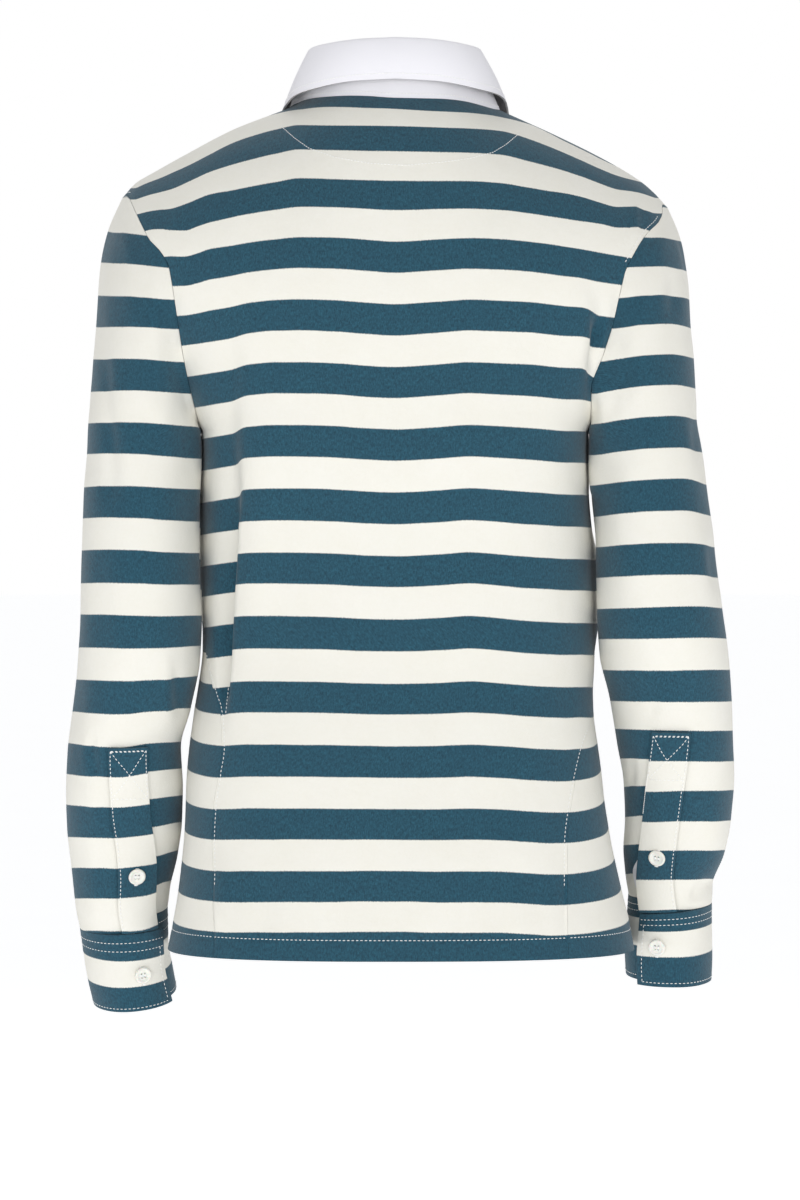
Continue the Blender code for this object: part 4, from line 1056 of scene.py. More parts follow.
def walled(mesh, thickness, outward):
    """Gives a sheet its wall: a second layer, inwards along the surface, or along a seam's own direction."""
    mesh.normal_update()
    rim, deep = mesh.verts.layers.float_vector["rim"], mesh.verts.layers.float["deep"]
    mesh.faces.ensure_lookup_table()
    face = mesh.faces[len(mesh.faces) // 2]
    if face.normal.dot(outward(face.calc_center_median())) < 0:
        bmesh.ops.reverse_faces(mesh, faces=mesh.faces[:])
        mesh.normal_update()
    for vert in mesh.verts:
        shared = Vector(vert[rim])
        out = (shared + vert.normal * (1 - min(1, shared.length))).normalized()
        vert[rim] = out * -thickness * vert[deep]
    outside = set(mesh.faces)
    second = bmesh.ops.extrude_face_region(mesh, geom=mesh.faces[:])["geom"]
    for vert in second:
        if isinstance(vert, bmesh.types.BMVert):
            vert.co = vert.co + Vector(vert[rim])
    for face in mesh.faces:
        face.material_index = 0 if face in outside else 1
    bmesh.ops.recalc_face_normals(mesh, faces=mesh.faces[:])


def data_of(name, mesh):
    data = bpy.data.meshes.new(name)
    mesh.to_mesh(data)
    mesh.free()
    return data


def linked(name, data):
    thing = bpy.data.objects.new(name, data)
    bpy.context.collection.objects.link(thing)
    return thing


def finish(name, mesh, materials, rim=0.0):
    """Makes the object in metres; cloth gets a rounded rim."""
    bmesh.ops.scale(mesh, vec=(MM, MM, MM), verts=mesh.verts[:])
    data = data_of(name, mesh)
    data.shade_smooth()
    for look in materials:
        data.materials.append(look)
    thing = linked(name, data)
    if rim:
        bevel = thing.modifiers.new("rim", "BEVEL")
        bevel.width = rim * MM
        bevel.segments = 2
        bevel.limit_method = "ANGLE"
        bevel.angle_limit = math.radians(60)
        bevel.harden_normals = True
    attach(thing, "root")
    return thing


def sheet(name, surface, thickness, outward, look, rims=None, deeper=None, weld=False, under=None):
    """A piece of cloth over a surface's rows, with its wall."""
    mesh = grid_of(surface.rows, surface.courses)
    set_rims(mesh, rims or {}, deeper or {})
    if weld:
        bmesh.ops.remove_doubles(mesh, verts=mesh.verts[:], dist=0.01)
    walled(mesh, thickness, outward)
    return finish(name, mesh, [look, under or look], rim=0.4)


def facing(y):
    return lambda point: Vector((0, y, 0))


# ---- The pieces' points, worked out once ----

Surface = namedtuple("Surface", "rows normals courses")


def creased_surface(rows, way, height_at, courses, closed=False):
    rows = creased(rows, surface_normals(rows, way, closed), height_at)
    return Surface(rows, surface_normals(rows, way, closed), courses)


@lru_cache(maxsize=None)
def body_surfaces():
    """The two panels: their rows, creased, with their normals and the cloth's own coordinates."""
    flat_back, front = ([swollen(row) for row in body_rows(cloth)] for cloth in ("back", "front"))
    drops = [slipped(row) for row in flat_back]
    back = [folded(list(row)) for row in flat_back]
    last_front = len(front[0]) - 1

    def back_number(r, c):
        return back_stripe(back[r][c], drops[r][c])

    def front_number(r, c):
        """The front's stripes meet the back's at the side seams, where the fold leaves them."""
        end = 0 if c < last_front / 2 else last_front
        seam_point = front[min(r, BODY_ROWS)][end]
        met = back_stripe(seam_point, 0.0) - front_stripe(seam_point)
        apart = (front[r][c] - front[r][end]).length
        return front_stripe(front[r][c]) + met * (1 - ease(apart / MEETING))

    return {
        cloth: creased_surface(rows, 1, body_height(creases, rows), courses_of(rows, number_at))
        for cloth, rows, creases, number_at in (
            ("back", back, BACK_CREASES, back_number), ("front", front, FRONT_CREASES, front_number)
        )
    }


def swollen(row):
    """A panel's row with its flanks swollen below the arms."""
    moved = []
    for point in row:
        side = "left" if point.x > 0 else "right"
        flank = read(SWELLS, "z", side + "_flank", point.z) * bell(point.y / FLANK_DEPTH)
        front = read(SWELLS, "z", side + "_front", point.z) * bell((point.y - FRONT_SWELL_Y) / FRONT_SWELL_DEPTH)
        out = (flank + front) * ease((abs(point.x) - 90) / 40)
        moved.append(point + Vector((out * WAY[side], 0, 0)))
    return moved


def body_height(creases, rows):
    strength = settings().crease_strength
    last_row, last_column = len(rows) - 1, len(rows[0]) - 1

    def height_at(point, r, c):
        fade = ease(min(c, last_column - c) / 4) * ease((last_row - r) / 9)
        x, z = from_behind(point)
        height = (crease_height(creases, x, z) + unevenness(point, "body")) * fade * strength
        return height - 0.4 * bell((point.z - BODY[0].z - HEM_STITCH) / 1.3)

    return height_at


@lru_cache(maxsize=None)
def sleeve_surface(side):
    """A sleeve's rings: creased, swollen towards the body, and smooth under the placket."""
    rows = sleeve_rows(side)
    last_row, last_column = len(rows) - 1, len(rows[0]) - 1
    strength = settings().crease_strength

    def height_at(point, r, c):
        fade = ease(r / 7) * ease((last_row - r) / 4)
        under_placket = ease((sleeve_place(r) - PLACKET_TOP[side] + 0.6) / 0.5)
        fade *= 1 - under_placket * (1 - ease((min(c, last_column - c) - 7) / 4))
        x, z = from_behind(point)
        degrees = (SLIT_ANGLE + 360 * c / SLEEVE_COLUMNS) % 360
        creases = SLEEVE_BACK_CREASES[side] if degrees < 180 else SLEEVE_FRONT_CREASES
        height = crease_height(creases, abs(x), z) * clamp(abs(cos_sin(degrees)[1]) * 3)
        if 90 < degrees < 225:
            near = bell((point.y - SLEEVE_SWELL_Y[side]) / SLEEVE_SWELL_DEPTH)
            height += read(SLEEVE_SWELLS, "z", side, point.z) * near / max(0.3, strength)
        return (height + unevenness(point, side + "_sleeve")) * fade * strength

    courses = courses_of(
        rows, lambda r, c: sleeve_stripe(side, sleeve_place(r), rows[r][c], 360 * c / SLEEVE_COLUMNS)
    )
    return creased_surface(rows, -WAY[side], height_at, courses, closed=True)


# ---- Pieces of cloth ----


def side_rim(point):
    """The way out of the cloth at a side seam."""
    return Vector((point.x / 160**2, point.y / 112**2, 0)).normalized()


def body_cloth(cloth, look):
    surface = body_surfaces()[cloth]
    rows = surface.rows
    rims = {}
    last_row, last_column = len(rows) - 1, len(rows[0]) - 1
    first_yoke = last_row - YOKE_STEPS
    way = 1 if cloth == "back" else -1
    for r, row in enumerate(rows):
        for c, side in zip((0, last_column), SIDES[::way]):
            if r <= first_yoke:
                rims[r, c] = side_rim(row[c])
            else:
                rims[r, c] = armhole_out(side, way * (180 - 180 * (r - first_yoke) / YOKE_STEPS))
    for c, point in enumerate(rows[-1]):
        if 0 < c < last_column:
            slope = (ridge(point.x + 2) - ridge(point.x - 2)) / 4
            on_shoulder = abs(point.x) > NECK_HALF + 1
            rims[last_row, c] = Vector((-slope, 0, 1)).normalized() if on_shoulder else neck_out(point)
    deeper = {r: TURNED / JERSEY for r in range(HEM_ROWS.index(HEM_STITCH))}
    return sheet(cloth + "_cloth", surface, JERSEY, facing(way), look, rims, deeper)


def sleeve_middle(side):
    """The way out from a sleeve's middle line, for telling its outside from its inside."""

    def outward(point):
        z = clamp(point.z, SLEEVES[side][-1].out_z, SLEEVES[side][6].in_z)
        near = min(SLEEVES[side], key=lambda s: abs((s.out_z + s.in_z) / 2 - z))
        return point - Vector((WAY[side] * (near.out_x + near.in_x) / 2, near.y, point.z))

    return outward


def sleeve_cloth(side, look):
    rims = {(0, k): armhole_out(side, SLIT_ANGLE + SLEEVE_TURN * k) for k in range(SLEEVE_COLUMNS + 1)}
    return sheet(
        side + "_sleeve_cloth", sleeve_surface(side), JERSEY, sleeve_middle(side), look, rims, weld=True
    )


@lru_cache(maxsize=None)
def cuff_surface(side):
    turn = (360 + CUFF_END[side] - CUFF_UNDER) / CUFF_COLUMNS
    places = even(0, 3, CUFF_ROWS)
    rows = [[cuff_point(side, place, turn * c) for c in range(CUFF_COLUMNS + 1)] for place in places]

    def height_at(point, r, c):
        return 0.45 * unevenness(point, "cuff") - 0.25 * (bell((r - 2.6) / 0.9) + bell((r - 5.2) / 0.9))

    return creased_surface(rows, WAY[side], height_at, courses_of(rows, lambda r, c: CUFF_STRIPES(places[r])))


def cuff_cloth(side, look):
    return sheet(side + "_cuff_cloth", cuff_surface(side), JERSEY, sleeve_middle(side), look)


PLACKET_COLUMNS = 14


@lru_cache(maxsize=None)
def placket_surface(side):
    places = even(PLACKET_TOP[side], PLACKET[-1].section, 48)
    half = PLACKET_WIDTH / 2
    rows = laid_rows(side, places, lambda place: (-half, half), PLACKET_HEIGHT, PLACKET_COLUMNS, under=False)
    courses = courses_of(rows, lambda r, c: sleeve_stripe(side, places[r], rows[r][c]))
    normals = surface_normals(rows, -WAY[side])

    def height_at(point, r, c):
        return 0.35 * unevenness(point, "placket") * ease(min(c, PLACKET_COLUMNS - c) / 2)

    return Surface(creased(rows, normals, height_at), normals, courses)


def placket_cloth(side, look):
    return sheet(side + "_placket_cloth", placket_surface(side), JERSEY, facing(1), look)


def underlap_cloth(side, look):
    places = even(UNDERLAP[0].section, UNDERLAP[-1].section, 24)

    def edges(place):
        return tuple(read(UNDERLAP, "section", side + end, place) for end in ("_from", "_to"))

    rows = laid_rows(side, places, edges, UNDERLAP_WALL + 2 * SEAM, 8, under=True)
    surface = Surface(rows, None, plain_courses(rows))
    return sheet(side + "_underlap_cloth", surface, UNDERLAP_WALL, facing(1), look)


@lru_cache(maxsize=None)
def collar_surfaces():
    """The stand and the fall, and the seam that the stand starts from."""
    body = body_surfaces()
    seam = neck_seam(body["back"].rows, body["front"].rows)
    surfaces = {}
    for name, coarse in zip(("stand", "fall"), collar_rows(seam)):
        rows = finer(coarse, 4)
        way = 1 if surface_normals(rows, 1)[len(rows) // 2][len(rows[0]) // 2].y > 0 else -1

        def height_at(point, r, c):
            if name == "fall":
                return 0.5 * unevenness(point, "collar") * ease(r / 8)
            creases = crease_height(STAND_CREASES, point.x, point.z) if point.y > 0 else 0
            return (creases + 0.5 * unevenness(point, "collar")) * ease(min(r, len(rows) - 1 - r) / 4)

        surfaces[name] = creased_surface(rows, way, height_at, plain_courses(rows))
    return surfaces, seam


def collar_out(point):
    return Vector((point.x, point.y + 10, 0.1))


def collar_cloth(part, look, under=None):
    surfaces, seam = collar_surfaces()
    rims = {(0, c): neck_out(point) for c, point in enumerate(seam)} if part == "stand" else {}
    return sheet(f"collar_{part}_cloth", surfaces[part], TWILL, collar_out, look, rims, under=under)


def towards(way, vector):
    """The vector or its opposite, whichever looks the given way along Y."""
    return vector if vector.y * way > 0 else -vector


@lru_cache(maxsize=None)
def front_placket_surface():
    """A strip down the front from the neck, made from the panel's own points, moved out."""
    body = body_surfaces()["front"]
    middle = len(body.rows[0]) // 2
    first = next(r for r, row in enumerate(body.rows) if row[middle].z > FRONT_PLACKET_FOOT_Z)
    panel = [list(row) for row in body.rows[first:]]
    panel[-1] = [low.lerp(high, 0.6) for low, high in zip(panel[-2], panel[-1])]
    half = FRONT_PLACKET_WIDTH / 2
    rows = []
    for row in panel:
        line = []
        for x in even(-half, half, 12):
            c = next(k for k in range(1, len(row)) if row[k].x >= x or k == len(row) - 1)
            share = (x - row[c - 1].x) / (row[c].x - row[c - 1].x)
            line.append(row[c - 1].lerp(row[c], share))
        rows.append(line)
    normals = []
    for k, row in enumerate(rows):
        slope = rows[min(k + 1, len(rows) - 1)][6] - rows[max(k - 1, 0)][6]
        normals.append([towards(-1, Vector((1, 0, 0)).cross(slope).normalized())] * len(row))
    rows = [[point + up * (LAID + TWILL) for point, up in zip(*pair)] for pair in zip(rows, normals)]
    return Surface(rows, normals, plain_courses(rows))


def front_placket_cloth(look):
    return sheet("front_placket_cloth", front_placket_surface(), TWILL, facing(-1), look)


# ---- Buttons ----

HOLE_ACROSS, HOLE_APART = 1.7, 2.7
# How far inside its rim and how high each ring of a button's outline lies.
BUTTON_PROFILE = (
    (1.4, 0), (0.4, 0.35), (0, 1), (0, 1.7), (0.25, 2.2), (0.8, BUTTON_THICK - 0.08), (1.3, BUTTON_THICK),
    (1.8, 2.5), (2.4, 2.15), (3.2, 1.95), (4.2, 1.9),
)


def button_mesh():
    """A round button with a raised rim, a dished face and four holes, its back on the ground."""
    mesh = bmesh.new()
    line = [mesh.verts.new((BUTTON_ACROSS / 2 - inside, 0, z)) for inside, z in BUTTON_PROFILE]
    edges = [mesh.edges.new(pair) for pair in zip(line, line[1:])]
    bmesh.ops.spin(
        mesh, geom=line + edges, cent=(0, 0, 0), axis=(0, 0, 1), angle=math.tau, steps=48, use_merge=True
    )
    bmesh.ops.remove_doubles(mesh, verts=mesh.verts[:], dist=0.001)
    bmesh.ops.holes_fill(mesh, edges=[edge for edge in mesh.edges if edge.is_boundary], sides=0)
    bmesh.ops.recalc_face_normals(mesh, faces=mesh.faces[:])
    return mesh


def pierced(mesh):
    """The same with its four holes cut through."""
    drills = bmesh.new()
    radius = HOLE_ACROSS / 2
    for x, y in product((-1, 1), repeat=2):
        at = Matrix.Translation((x * HOLE_APART / 2, y * HOLE_APART / 2, 1.0))
        bmesh.ops.create_cone(
            drills, cap_ends=True, segments=16, radius1=radius, radius2=radius, depth=6, matrix=at
        )
    disc, drill = linked("disc", data_of("disc", mesh)), linked("drill", data_of("drill", drills))
    cut = disc.modifiers.new("holes", "BOOLEAN")
    cut.operation = "DIFFERENCE"
    cut.solver = "EXACT"
    cut.object = drill
    bpy.context.view_layer.update()
    result = bmesh.new()
    result.from_mesh(disc.evaluated_get(bpy.context.evaluated_depsgraph_get()).data)
    for thing in (disc, drill):
        shape = thing.data
        bpy.data.objects.remove(thing, do_unlink=True)
        bpy.data.meshes.remove(shape)
    return result


Button = namedtuple("Button", "name node at out up")


def button_places():
    """Where each button sits: the middle of its back, the way its face looks, and the way up its holes stand."""
    places = []
    for side in SIDES:
        place, cuff_place, cuff_angle = SLEEVE_BUTTONS[side]
        middle = step_along(side, place, read(PLACKET, "section", side, place), -2.2, under=False)
        out = sleeve_out(side, place, middle, under=False)
        on = sleeve_point(side, place, middle, under=False)
        up = sleeve_point(side, place - 0.1, middle, under=False) - on
        at = on + out * (PLACKET_HEIGHT + SEAM)
        places.append(Button(f"button_{side}_placket", f"{side}_sleeve_button", at, out, up))
        turned = CUFF_END[side] - cuff_angle
        round_it = cuff_point(side, cuff_place, turned + 2) - cuff_point(side, cuff_place, turned - 2)
        down_it = cuff_point(side, cuff_place + 0.1, turned) - cuff_point(side, cuff_place - 0.1, turned)
        out = towards(1, round_it.cross(down_it).normalized())
        at = cuff_point(side, cuff_place, turned) + out * SEAM * 2
        places.append(Button(f"button_{side}_cuff", f"{side}_cuff_button", at, out, -down_it))
    for number, z in enumerate(FRONT_BUTTON_Z, start=1):
        slope = yoke_point(0, z + 4, "front") - yoke_point(0, z - 4, "front")
        out = towards(-1, Vector((1, 0, 0)).cross(slope).normalized())
        at = yoke_point(0, z, "front") + out * (LAID + TWILL + SEAM + 0.3)
        places.append(Button(f"button_front_{number}", f"front_button_{number}", at, out, slope))
    return places


def axes_of(out, up):
    """The way across, along and out of a small thing that looks along `out`, with its own Y towards `up`."""
    z = out.normalized()
    y = (up - z * up.dot(z)).normalized()
    return y.cross(z), y, z


def standing(at, out, up):
    """The turn and place of such a thing."""
    return Matrix([*zip(*(axis[:] for axis in axes_of(out, up)), at[:]), (0, 0, 0, 1)])


# ---- Stitching ----

Mark = namedtuple("Mark", "at along out length width")


def thread_piece(name, marks, look):
    """Every stitch of a group as a small flattened bead of thread, in one mesh."""
    bead = bmesh.new()
    bmesh.ops.create_uvsphere(bead, u_segments=6, v_segments=4, radius=0.5)
    pattern = data_of("bead", bead)
    mesh = bmesh.new()
    for mark in marks:
        copy = pattern.copy()
        size = Matrix.Diagonal((mark.width, mark.length, mark.width * 0.8, 1))
        copy.transform(standing(mark.at, mark.out, mark.along) @ size)
        mesh.from_mesh(copy)
        bpy.data.meshes.remove(copy)
    bpy.data.meshes.remove(pattern)
    return finish(name, mesh, [look])


def stitched(path, stitch, lift=0.12):
    """Stitches along a path of (point, way out) pairs."""
    marks = []
    far = distances([point for point, _ in path])

    def at(distance):
        i = min(len(far) - 1, max(1, bisect_right(far, distance)))
        share = clamp((distance - far[i - 1]) / max(1e-6, far[i] - far[i - 1]))
        return path[i - 1][0].lerp(path[i][0], share), path[i - 1][1].lerp(path[i][1], share).normalized()

    place = 0.0
    while place + stitch.length <= far[-1] + 0.01:
        (head, out), (tail, _) = at(place), at(place + stitch.length)
        if (tail - head).length > 0.2 * stitch.length:
            marks.append(Mark((head + tail) / 2 + out * lift, tail - head, out, stitch.length, stitch.width))
        place += stitch.length + stitch.gap
    return marks


def across_surface(surface, r, c):
    """The point and way out at a place between a surface's rows and columns."""
    r0, c0 = min(len(surface.rows) - 2, max(0, int(r))), min(len(surface.rows[0]) - 2, max(0, int(c)))

    def mix(grid):
        low, high = (grid[k][c0].lerp(grid[k][c0 + 1], c - c0) for k in (r0, r0 + 1))
        return low.lerp(high, r - r0)

    return mix(surface.rows), mix(surface.normals).normalized()


def sewn(surface, stitch, *places):
    """Stitches over a surface through (row, column) places."""
    path = []
    for (r0, c0), (r1, c1) in zip(places, places[1:]):
        count = max(1, int(max(abs(r1 - r0), abs(c1 - c0))))
        for k in range(count):
            path.append(across_surface(surface, r0 + (r1 - r0) * k / count, c0 + (c1 - c0) * k / count))
    return stitched(path + [across_surface(surface, *places[-1])], stitch)


def inset_column(surface, r, distance, last=False):
    """The column at a row that lies a distance in from the row's first or last point."""
    row = surface.rows[r][::-1] if last else surface.rows[r]
    far = 0.0
    for c in range(1, len(row)):
        step = (row[c] - row[c - 1]).length
        if far + step >= distance:
            column = c - 1 + (distance - far) / step
            return len(row) - 1 - column if last else column
        far += step
    raise ValueError("the row is too short")


def seen_path(line):
    """A path over the finished back, through places seen from behind, by looking along each line of sight."""
    tree = BVHTree.FromObject(bpy.data.objects["back_cloth"], bpy.context.evaluated_depsgraph_get())
    eye = Vector((0, EYE_Y, EYE_Z)) * MM
    path = []
    for (x0, z0), (x1, z1) in zip(line, line[1:]):
        count = max(2, int(math.hypot(x1 - x0, z1 - z0) / 1.5))
        for x, z in zip(even(x0, x1, count), even(z0, z1, count)):
            way = (Vector((x, 0, z)) * MM - eye).normalized()
            point, out, _, _ = tree.ray_cast(eye, way)
            if point:
                path.append((point / MM, out if out.dot(way) < 0 else -out))
    return path


def buttonhole(button, length=14.0, below=1.0):
    """Two close rows of thread under a button, with a bar across each end."""
    x, y, z = axes_of(button.out, button.up)
    middle = button.at - z * 0.25 - y * below
    marks = []
    for share in even(-0.5, 0.5, int(length / 0.6)):
        marks += [Mark(middle + y * share * length + x * way * 0.95, x, z, 1.5, 0.55) for way in (-1, 1)]
    for end, k in product((-1, 1), (-1, 0, 1)):
        marks.append(Mark(middle + y * (end * (length / 2 + 0.3) + 0.4 * k), x, z, 3.6, 0.6))
    return marks


def button_threads(button):
    """Three strands over the face from each hole of a pair to the other."""
    x, y, z = axes_of(button.out, button.up)
    marks = []
    for way, step in product((-1, 1), (-1, 0, 1)):
        at = button.at + x * (way * HOLE_APART / 2 + step * 0.3) + z * (2.05 + 0.12 * (step == 0))
        marks.append(Mark(at, y, z, HOLE_APART + 1.3, 0.5))
    return marks


# ---- Shaders ----


class Value:
    """A number or colour socket of a shader, which adds and multiplies as numbers do."""

    def __init__(self, shader, socket):
        self.shader, self.socket = shader, socket

    def maths(self, operation, *others):
        return self.shader.maths(operation, self, *others)

    def __add__(self, other):
        return self.maths("ADD", other)

    def __sub__(self, other):
        return self.maths("SUBTRACT", other)

    def __rsub__(self, other):
        return self.shader.maths("SUBTRACT", other, self)

    def __mul__(self, other):
        return self.maths("MULTIPLY", other)

    def __truediv__(self, other):
        return self.maths("DIVIDE", other)

    __radd__, __rmul__ = __add__, __mul__

    def fraction(self):
        return self.maths("FRACT")

    def size(self):
        return self.maths("ABSOLUTE")

    def squared(self):
        return self.maths("POWER", 2.0)

    def held(self):
        """Kept between 0 and 1."""
        return self.maths("MINIMUM", 1.0).maths("MAXIMUM", 0.0)


class Shader:
    """A material built node by node."""

    def __init__(self, name):
        self.material = bpy.data.materials.new(name)
        self.material.use_nodes = True
        self.tree = self.material.node_tree
        self.surface = self.tree.nodes["Principled BSDF"]

    def link(self, value, socket):
        if isinstance(value, Value):
            self.tree.links.new(value.socket, socket)
        else:
            socket.default_value = value

    def node(self, kind, settings=None, inputs=None, output=0):
        """A node with its settings and inputs; gives one of its outputs."""
        node = self.tree.nodes.new(kind)
        for key, setting in (settings or {}).items():
            setattr(node, key, setting)
        for key, value in (inputs or {}).items():
            self.link(value, node.inputs[key])
        return Value(self, node.outputs[output])

    def maths(self, operation, *values):
        return self.node("ShaderNodeMath", {"operation": operation}, dict(enumerate(values)))

    def mix(self, share, first, second):
        """From one colour to another."""
        return self.node("ShaderNodeMix", {"data_type": "RGBA"}, {0: share, 6: first, 7: second}, output=2)

    def noise(self, place, scale, detail=2.0, roughness=0.5):
        inputs = {"Vector": place, "Scale": scale, "Detail": detail, "Roughness": roughness}
        return self.node("ShaderNodeTexNoise", None, inputs)

    def threads(self, x, y, detail=2.0, roughness=0.5):
        """Noise drawn out along the cloth's own coordinates."""
        return self.noise(self.node("ShaderNodeCombineXYZ", None, {0: x, 1: y, 2: 0.0}), 1.0, detail, roughness)

    def cloth(self):
        """The cloth's own coordinates, across it and down it, and the place on the object."""
        courses = self.node("ShaderNodeUVMap", {"uv_map": "courses"})
        across, down = (self.node("ShaderNodeSeparateXYZ", None, {0: courses}, output=k) for k in (0, 1))
        return across, down, self.where()

    def where(self):
        return self.node("ShaderNodeTexCoord", None, None, output=3)

    def finished(self, *layers, **inputs):
        """Sets the surface's inputs, named with underscores, and lays its bumps: (height, metres, strength)."""
        for key, value in inputs.items():
            self.link(value, self.surface.inputs[key.replace("_", " ")])
        lower = {}
        for height, distance, strength in layers:
            inputs = {"Height": height, "Distance": distance, "Strength": strength, **lower}
            lower = {"Normal": self.node("ShaderNodeBump", None, inputs)}
        self.link(lower["Normal"], self.surface.inputs["Normal"])
        return self.material


def tint(colour, *shares):
    """A colour with each channel times its share, or all times the same."""
    shares = shares if len(shares) > 1 else shares * 3
    return (*(min(1.0, channel * share) for channel, share in zip(colour, shares)), 1)


STRIPE_BLUR = 0.014  # of the repeat, at a stripe's edge


def jersey_material():
    """Striped knit: heathered navy and cream, with wales down it and courses across."""
    look = settings()
    shader = Shader("striped_jersey")
    across, number, where = shader.cloth()
    down = number * look.stripe_repeat
    leg = ((across / look.knit_gauge).fraction() - 0.5).size()
    course = (down / (look.knit_gauge * 0.8) + leg * 1.3).fraction() - 0.5
    knit = (1 - (leg * 2).squared()) * 0.55 + (1 - (course * 2).size().squared()) * 0.45

    wander = shader.threads(across * 40, number * 3) - 0.5
    edge = shader.threads(across * 900, number * 30) - 0.5
    middle = (number + wander * 0.014 + edge * 0.03 - look.navy_share / 2 + 0.5).fraction() - 0.5
    navy = ((look.navy_share / 2 - middle.size()) / STRIPE_BLUR + 0.5).held()

    fleck = shader.threads(across * 1100, down * 330, 3.0, 0.7)
    fuzz = shader.noise(where, 420.0, 4.0, 0.75)
    cloud = shader.noise(where, 28.0, 3.0, 0.6)
    heather = (fleck * 0.55 + fuzz * 0.45 - 0.5) * 3.4 + 0.5
    navy_cloth = shader.mix(heather.held(), tint(look.navy, 0.5), tint(look.navy, 1.6, 1.95, 1.75))
    navy_cloth = shader.mix((cloud * 0.5).held(), navy_cloth, tuple(look.navy))
    worn = ((fuzz * 0.7 + cloud * 0.6 - 0.35) * 0.9).held()
    cream_cloth = shader.mix(worn, tint(look.cream, 0.93, 0.915, 0.86), tuple(look.cream))
    return shader.finished(
        (knit, 0.00016, 0.55),
        (fuzz, 0.0005, 0.4),
        (shader.noise(where, 90.0, 3.0), 0.0012, 0.35),
        Base_Color=shader.mix(navy, cream_cloth, navy_cloth),
        Roughness=0.86 + fuzz * 0.1,
        Sheen_Weight=0.18,
        Sheen_Roughness=0.55,
        Specular_IOR_Level=0.22,
    )


def twill_material(name, colour):
    """Woven twill: fine diagonal ribs."""
    shader = Shader(name)
    across, down, where = shader.cloth()
    rib = ((across + down * 0.9) / 0.00075).fraction() - 0.5
    ribs = 1 - (rib * 2).size().squared()
    yarn = shader.threads(across * 1900, down * 600)
    cloud = shader.noise(where, 35.0, 3.0)
    return shader.finished(
        (ribs * 0.7 + yarn * 0.3, 0.00012, 0.5),
        (cloud, 0.0015, 0.3),
        Base_Color=shader.mix((ribs * 0.3 + yarn * 0.45 + cloud * 0.35).held(), tint(colour, 0.93), tuple(colour)),
        Roughness=0.78 + yarn * 0.12,
        Sheen_Weight=0.08,
        Specular_IOR_Level=0.3,
    )


def button_material():
    """Cast resin with a faint cloud in it and fine scratches."""
    shader = Shader("button_resin")
    where = shader.where()
    cloud = shader.noise(where, 160.0, 4.0, 0.6)
    scratch = shader.noise(where, 1400.0, 3.0)
    colour = settings().button
    return shader.finished(
        (scratch, 0.00005, 0.3),
        Base_Color=shader.mix(((cloud - 0.5) * 2 + 0.5).held(), tint(colour, 0.9), tint(colour, 1.06)),
        Roughness=0.3 + scratch * 0.14,
        Subsurface_Weight=0.12,
        Subsurface_Scale=0.002,
        Coat_Weight=0.15,
    )


def thread_material():
    """Twisted white sewing thread."""
    shader = Shader("sewing_thread")
    twist = shader.noise(shader.where(), 1800.0)
    colour = settings().thread
    return shader.finished(
        (twist, 0.0002, 0.5),
        Base_Color=shader.mix(twist, tint(colour, 0.88), tuple(colour)),
        Roughness=0.6 + twist * 0.15,
        Sheen_Weight=0.15,
    )


def floor_material():
    """A pale floor that melts into the white behind it."""
    shader = Shader("pale_floor")
    grain = shader.noise(shader.where(), 3.0, 4.0)
    return shader.finished(
        (grain, 0.0005, 0.1),
        Base_Color=shader.mix(grain, (0.86, 0.86, 0.87, 1), (0.9, 0.9, 0.9, 1)),
        Roughness=0.8 + grain * 0.1,
        Emission_Color=(1, 1, 1, 1),
        Emission_Strength=0.55,
    )


MATERIALS = {
    "jersey": jersey_material,
    "twill": lambda: twill_material("white_twill", settings().twill),
    "undercollar": lambda: twill_material("undercollar_twill", settings().undercollar),
    "button": button_material,
    "thread": thread_material,
    "floor": floor_material,
}


@lru_cache(maxsize=None)
def material(name):
    return MATERIALS[name]()


# ---- Settings ----


def colour_of(name, what, default):
    return bpy.props.FloatVectorProperty(
        name=name, description="Colour of the " + what, size=4, subtype="COLOR", default=(*default, 1)
    )


class RugbyShirtSettings(bpy.types.PropertyGroup):
    navy: colour_of("Navy", "dark stripes", (0.0172, 0.0635, 0.103))
    cream: colour_of("Cream", "pale stripes", (0.875, 0.865, 0.825))
    twill: colour_of("Collar", "collar and front placket", (0.87, 0.86, 0.90))
    undercollar: colour_of("Undercollar", "collar's under side", (0.33, 0.32, 0.32))
    button: colour_of("Buttons", "buttons", (0.84, 0.83, 0.77))
    thread: colour_of("Thread", "sewing thread", (0.97, 0.97, 0.955))
    stripe_repeat: bpy.props.FloatProperty(
        name="Stripe repeat", description="One navy and one cream stripe, down the cloth", default=REPEAT * MM,
        unit="LENGTH",
    )
    navy_share: bpy.props.FloatProperty(
        name="Navy share", description="Share of the repeat that is navy", default=NAVY_SHARE, min=0.1, max=0.9,
        subtype="FACTOR",
    )
    knit_gauge: bpy.props.FloatProperty(
        name="Knit gauge", description="Width of one stitch of the knit", default=0.0012, unit="LENGTH"
    )
    crease_strength: bpy.props.FloatProperty(
        name="Crease strength", description="1 as worn, 0 freshly pressed", default=1.0, min=0, max=1.3,
        subtype="FACTOR",
    )
    floor_height: bpy.props.FloatProperty(
        name="Floor height", description="Height of the floor under the neck", default=-1.45, unit="LENGTH"
    )


def settings():
    return bpy.context.scene.rugby_shirt


# ---- Operators ----


def declare_sheet(piece, node):
    """Hides the piece's CAD node; the piece itself is not used."""
    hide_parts(node)


class RUGBY_OT_body(bpy.types.Operator):
    """The back with its two folds at the shoulder blades, and the front"""

    bl_idname = "rugby.body"
    bl_label = "Body"

    def execute(self, context):
        declare_sheet(body_cloth("back", material("jersey")), "back_panel")
        declare_sheet(body_cloth("front", material("jersey")), "front_panel")
        return {"FINISHED"}


